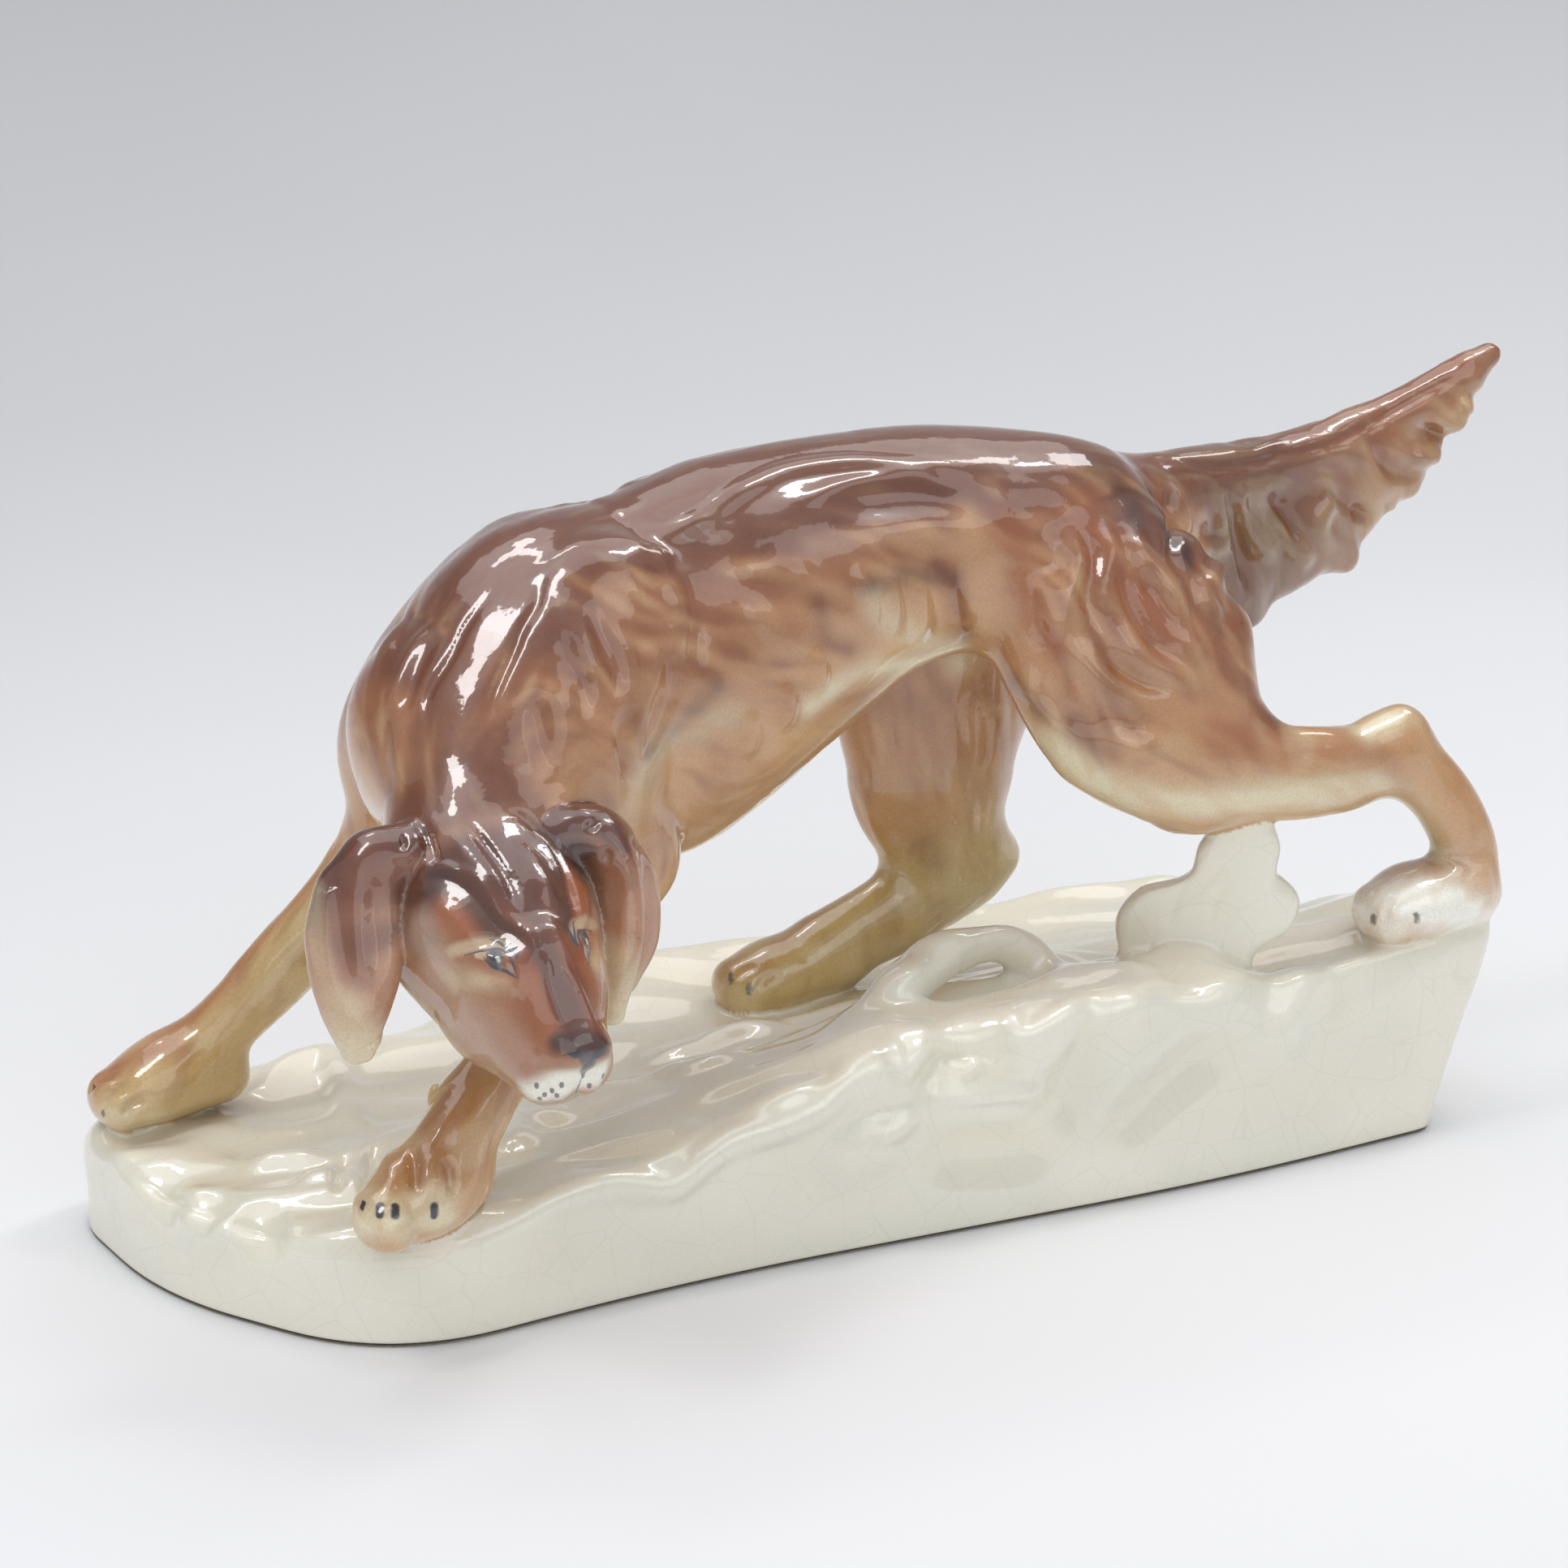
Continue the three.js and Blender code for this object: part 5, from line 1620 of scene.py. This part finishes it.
figure_glaze = glazed_material("painted_glaze", False, 0.08)
plinth_glaze = glazed_material("crazed_ivory_glaze", True, 0.02)
slots = {
    "base": "ivory_glaze", "root_arch": "ivory_glaze", "leaf_prop": "ivory_glaze", "ground_leaf": "ivory_glaze",
    "torso": "brown_glaze", "head": "dark_brown_glaze", "right_ear": "brown_glaze", "left_ear": "brown_glaze",
    "tail": "brown_glaze", "left_foreleg": "pale_brown_glaze", "right_foreleg": "pale_brown_glaze",
    "left_hind_leg": "pale_brown_glaze", "right_hind_leg": "pale_brown_glaze",
}


def dress(piece, node, material):
    piece.data.materials.append(material)
    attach(piece, "root")
    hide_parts(node)


for node in slots:
    material = plinth_glaze if node in rock_forms else figure_glaze
    dress(mesh_piece("skin_" + node, *part_of(node)), node, material)


def foot_ring(steps):
    """Flat ring that the plinth stands on, between its outline and the hollow."""
    outer = rounded_polygon(outline_corners, steps)
    step = 0.5
    slope = np.stack([
        outline(outer[:, 0] + step, outer[:, 1]) - outline(outer[:, 0] - step, outer[:, 1]),
        outline(outer[:, 0], outer[:, 1] + step) - outline(outer[:, 0], outer[:, 1] - step),
    ], 1)
    inner = outer - unit(slope) * plinth_wall
    outer = outer - unit(slope) * 0.1
    count = len(outer)
    p = np.vstack([np.column_stack([ring, np.full(count, 0.02)]) for ring in (outer, inner)])
    i = np.arange(count)
    j = (i + 1) % count
    return p, np.stack([i, i + count, j + count, j], 1)


ring_points, ring_faces = foot_ring(10)
clay = np.tile(photo_colour(206, 198, 180), (len(ring_points), 1))
dress(mesh_piece("foot_ring", ring_points, ring_faces, clay, None), "base", bare_clay("bare_clay"))

hollow = rock(plinth_wall, plinth_roof)
hollow_size = 3.2
hollow_points, hollow_faces = surface_net(hollow.distance, (-172, -92, -hollow_size / 2), (182, 92, 60), hollow_size)
hollow_points, hollow_out = settle(hollow.distance, hollow_points, 3.0)
hollow_points[:, 2] = np.maximum(hollow_points[:, 2], 0.02)
poured = np.tile(photo_colour(224, 220, 204), (len(hollow_points), 1))
poured *= 1 + 0.05 * noise(hollow_points, 14, 61)[:, None]
dress(mesh_piece("inner_hollow", hollow_points, hollow_faces[:, ::-1], poured, -hollow_out), "base", plinth_glaze)


camera_data = bpy.data.cameras.new("camera")
camera_data.sensor_width = 36
camera_data.lens = camera_data.sensor_width * focal_pixels / frame_pixels
camera_data.clip_start = 0.05
camera_data.clip_end = 20
camera = bpy.data.objects.new("camera", camera_data)
camera.location = (camera_place + shift) / 1000
camera.rotation_euler = (math.pi / 2 - camera_elevation, 0, camera_azimuth)
bpy.context.scene.collection.objects.link(camera)
bpy.context.scene.camera = camera

sweep_radius = 0.9
sweep_start = 0.55
sweep_height = 3.0


def sweep_profile(t):
    """Floor, then a quarter round, then a wall, as (distance back, height) in metres."""
    flat, turn = sweep_start + 3, sweep_radius * math.pi / 2
    s = t * (flat + turn + sweep_height)
    if s < flat:
        return s - 3, 0
    if s < flat + turn:
        angle = (s - flat) / sweep_radius
        return sweep_start + sweep_radius * math.sin(angle), sweep_radius * (1 - math.cos(angle))
    return sweep_start + sweep_radius, sweep_radius + s - flat - turn


def studio_sweep():
    """Seamless paper that runs under the figure and up behind it, square to the camera."""
    away = -towards_camera[:2] / np.linalg.norm(towards_camera[:2])
    across = picture_right[:2]
    points = []
    rows = 160
    for i in range(rows + 1):
        back, up = sweep_profile(i / rows)
        for side in (-6, 6):
            x, y = away * back + across * side
            points.append((x, y, up - 0.0002))
    faces = [(2 * i, 2 * i + 1, 2 * i + 3, 2 * i + 2) for i in range(rows)]
    mesh = bpy.data.meshes.new("sweep")
    mesh.from_pydata(points, [], faces)
    mesh.polygons.foreach_set("use_smooth", [True] * len(faces))
    out = bpy.data.objects.new("sweep", mesh)
    bpy.context.scene.collection.objects.link(out)
    return out


def paper_material():
    material = bpy.data.materials.new("studio_paper")
    material.use_nodes = True
    tree = material.node_tree
    shader = tree.nodes["Principled BSDF"]
    place = tree.nodes.new("ShaderNodeTexCoord").outputs["Object"]
    paper = tree.nodes.new("ShaderNodeRGB")
    paper.outputs["Color"].default_value = (0.84, 0.84, 0.855, 1)
    axes = tree.nodes.new("ShaderNodeSeparateXYZ")
    tree.links.new(place, axes.inputs[0])
    shaded = multiplied(tree, paper.outputs["Color"], ramp(tree, axes.outputs["Z"], 0.0, 0.4, 1.0, 0.62))
    shaded = multiplied(tree, shaded, ramp(tree, axes.outputs["Y"], 0.0, 0.8, 1.0, 0.78))
    tone = multiplied(tree, shaded, ramp(tree, noise_texture(tree, place, 2.5, 2), 0.3, 0.7, 0.98, 1.02))
    tree.links.new(tone, shader.inputs["Base Color"])
    shader.inputs["Roughness"].default_value = 0.7
    return material


sweep = studio_sweep()
sweep.data.materials.append(paper_material())

world = bpy.data.worlds.new("studio")
world.use_nodes = True
world.node_tree.nodes["Background"].inputs["Color"].default_value = (0.93, 0.96, 1.0, 1)
world.node_tree.nodes["Background"].inputs["Strength"].default_value = 0.47
bpy.context.scene.world = world


def softbox(name, place, aim, width, depth, radiance):
    """A rectangular lamp. Its radiance is what a mirror would show of it."""
    light = bpy.data.lights.new(name, "AREA")
    light.shape = "RECTANGLE"
    light.size, light.size_y = width, depth
    light.energy = radiance * math.pi * width * depth
    lamp = bpy.data.objects.new(name, light)
    lamp.location = place
    lamp.rotation_euler = Vector(np.asarray(aim) - np.asarray(place)).to_track_quat("-Z", "Y").to_euler()
    bpy.context.scene.collection.objects.link(lamp)


for name, width, depth, radiance in (("wide", 1.8, 1.4, 1.0), ("middle", 1.3, 1.0, 0.65), ("inner", 0.8, 0.6, 0.35)):
    softbox(name + "_overhead_panel", (0.15, 0.38, 1.25), (0.1, 0.15, 0.1), width, depth, radiance)
softbox("left_softbox", (-0.62, 0.07, 0.95), (-0.62, 0.07, 0), 0.44, 0.17, 9)
softbox("right_softbox", (0.40, -0.01, 0.95), (0.40, -0.01, 0), 0.32, 0.12, 11)
softbox("back_softbox", (-0.11, 0.6, 0.95), (-0.11, 0.6, 0), 0.3, 0.12, 6)
softbox("far_right_softbox", (0.78, 0.1, 0.95), (0.4, 0.05, 0), 0.2, 0.3, 5)
softbox("front_window", (0.32, -0.95, 0.95), (0.15, -0.4, 0), 1.0, 0.6, 0.9)
softbox("front_fill", (-0.7, -1.2, 0.8), (0, 0, 0.08), 1.5, 1.2, 0.65)

bpy.context.scene.view_settings.view_transform = "Standard"
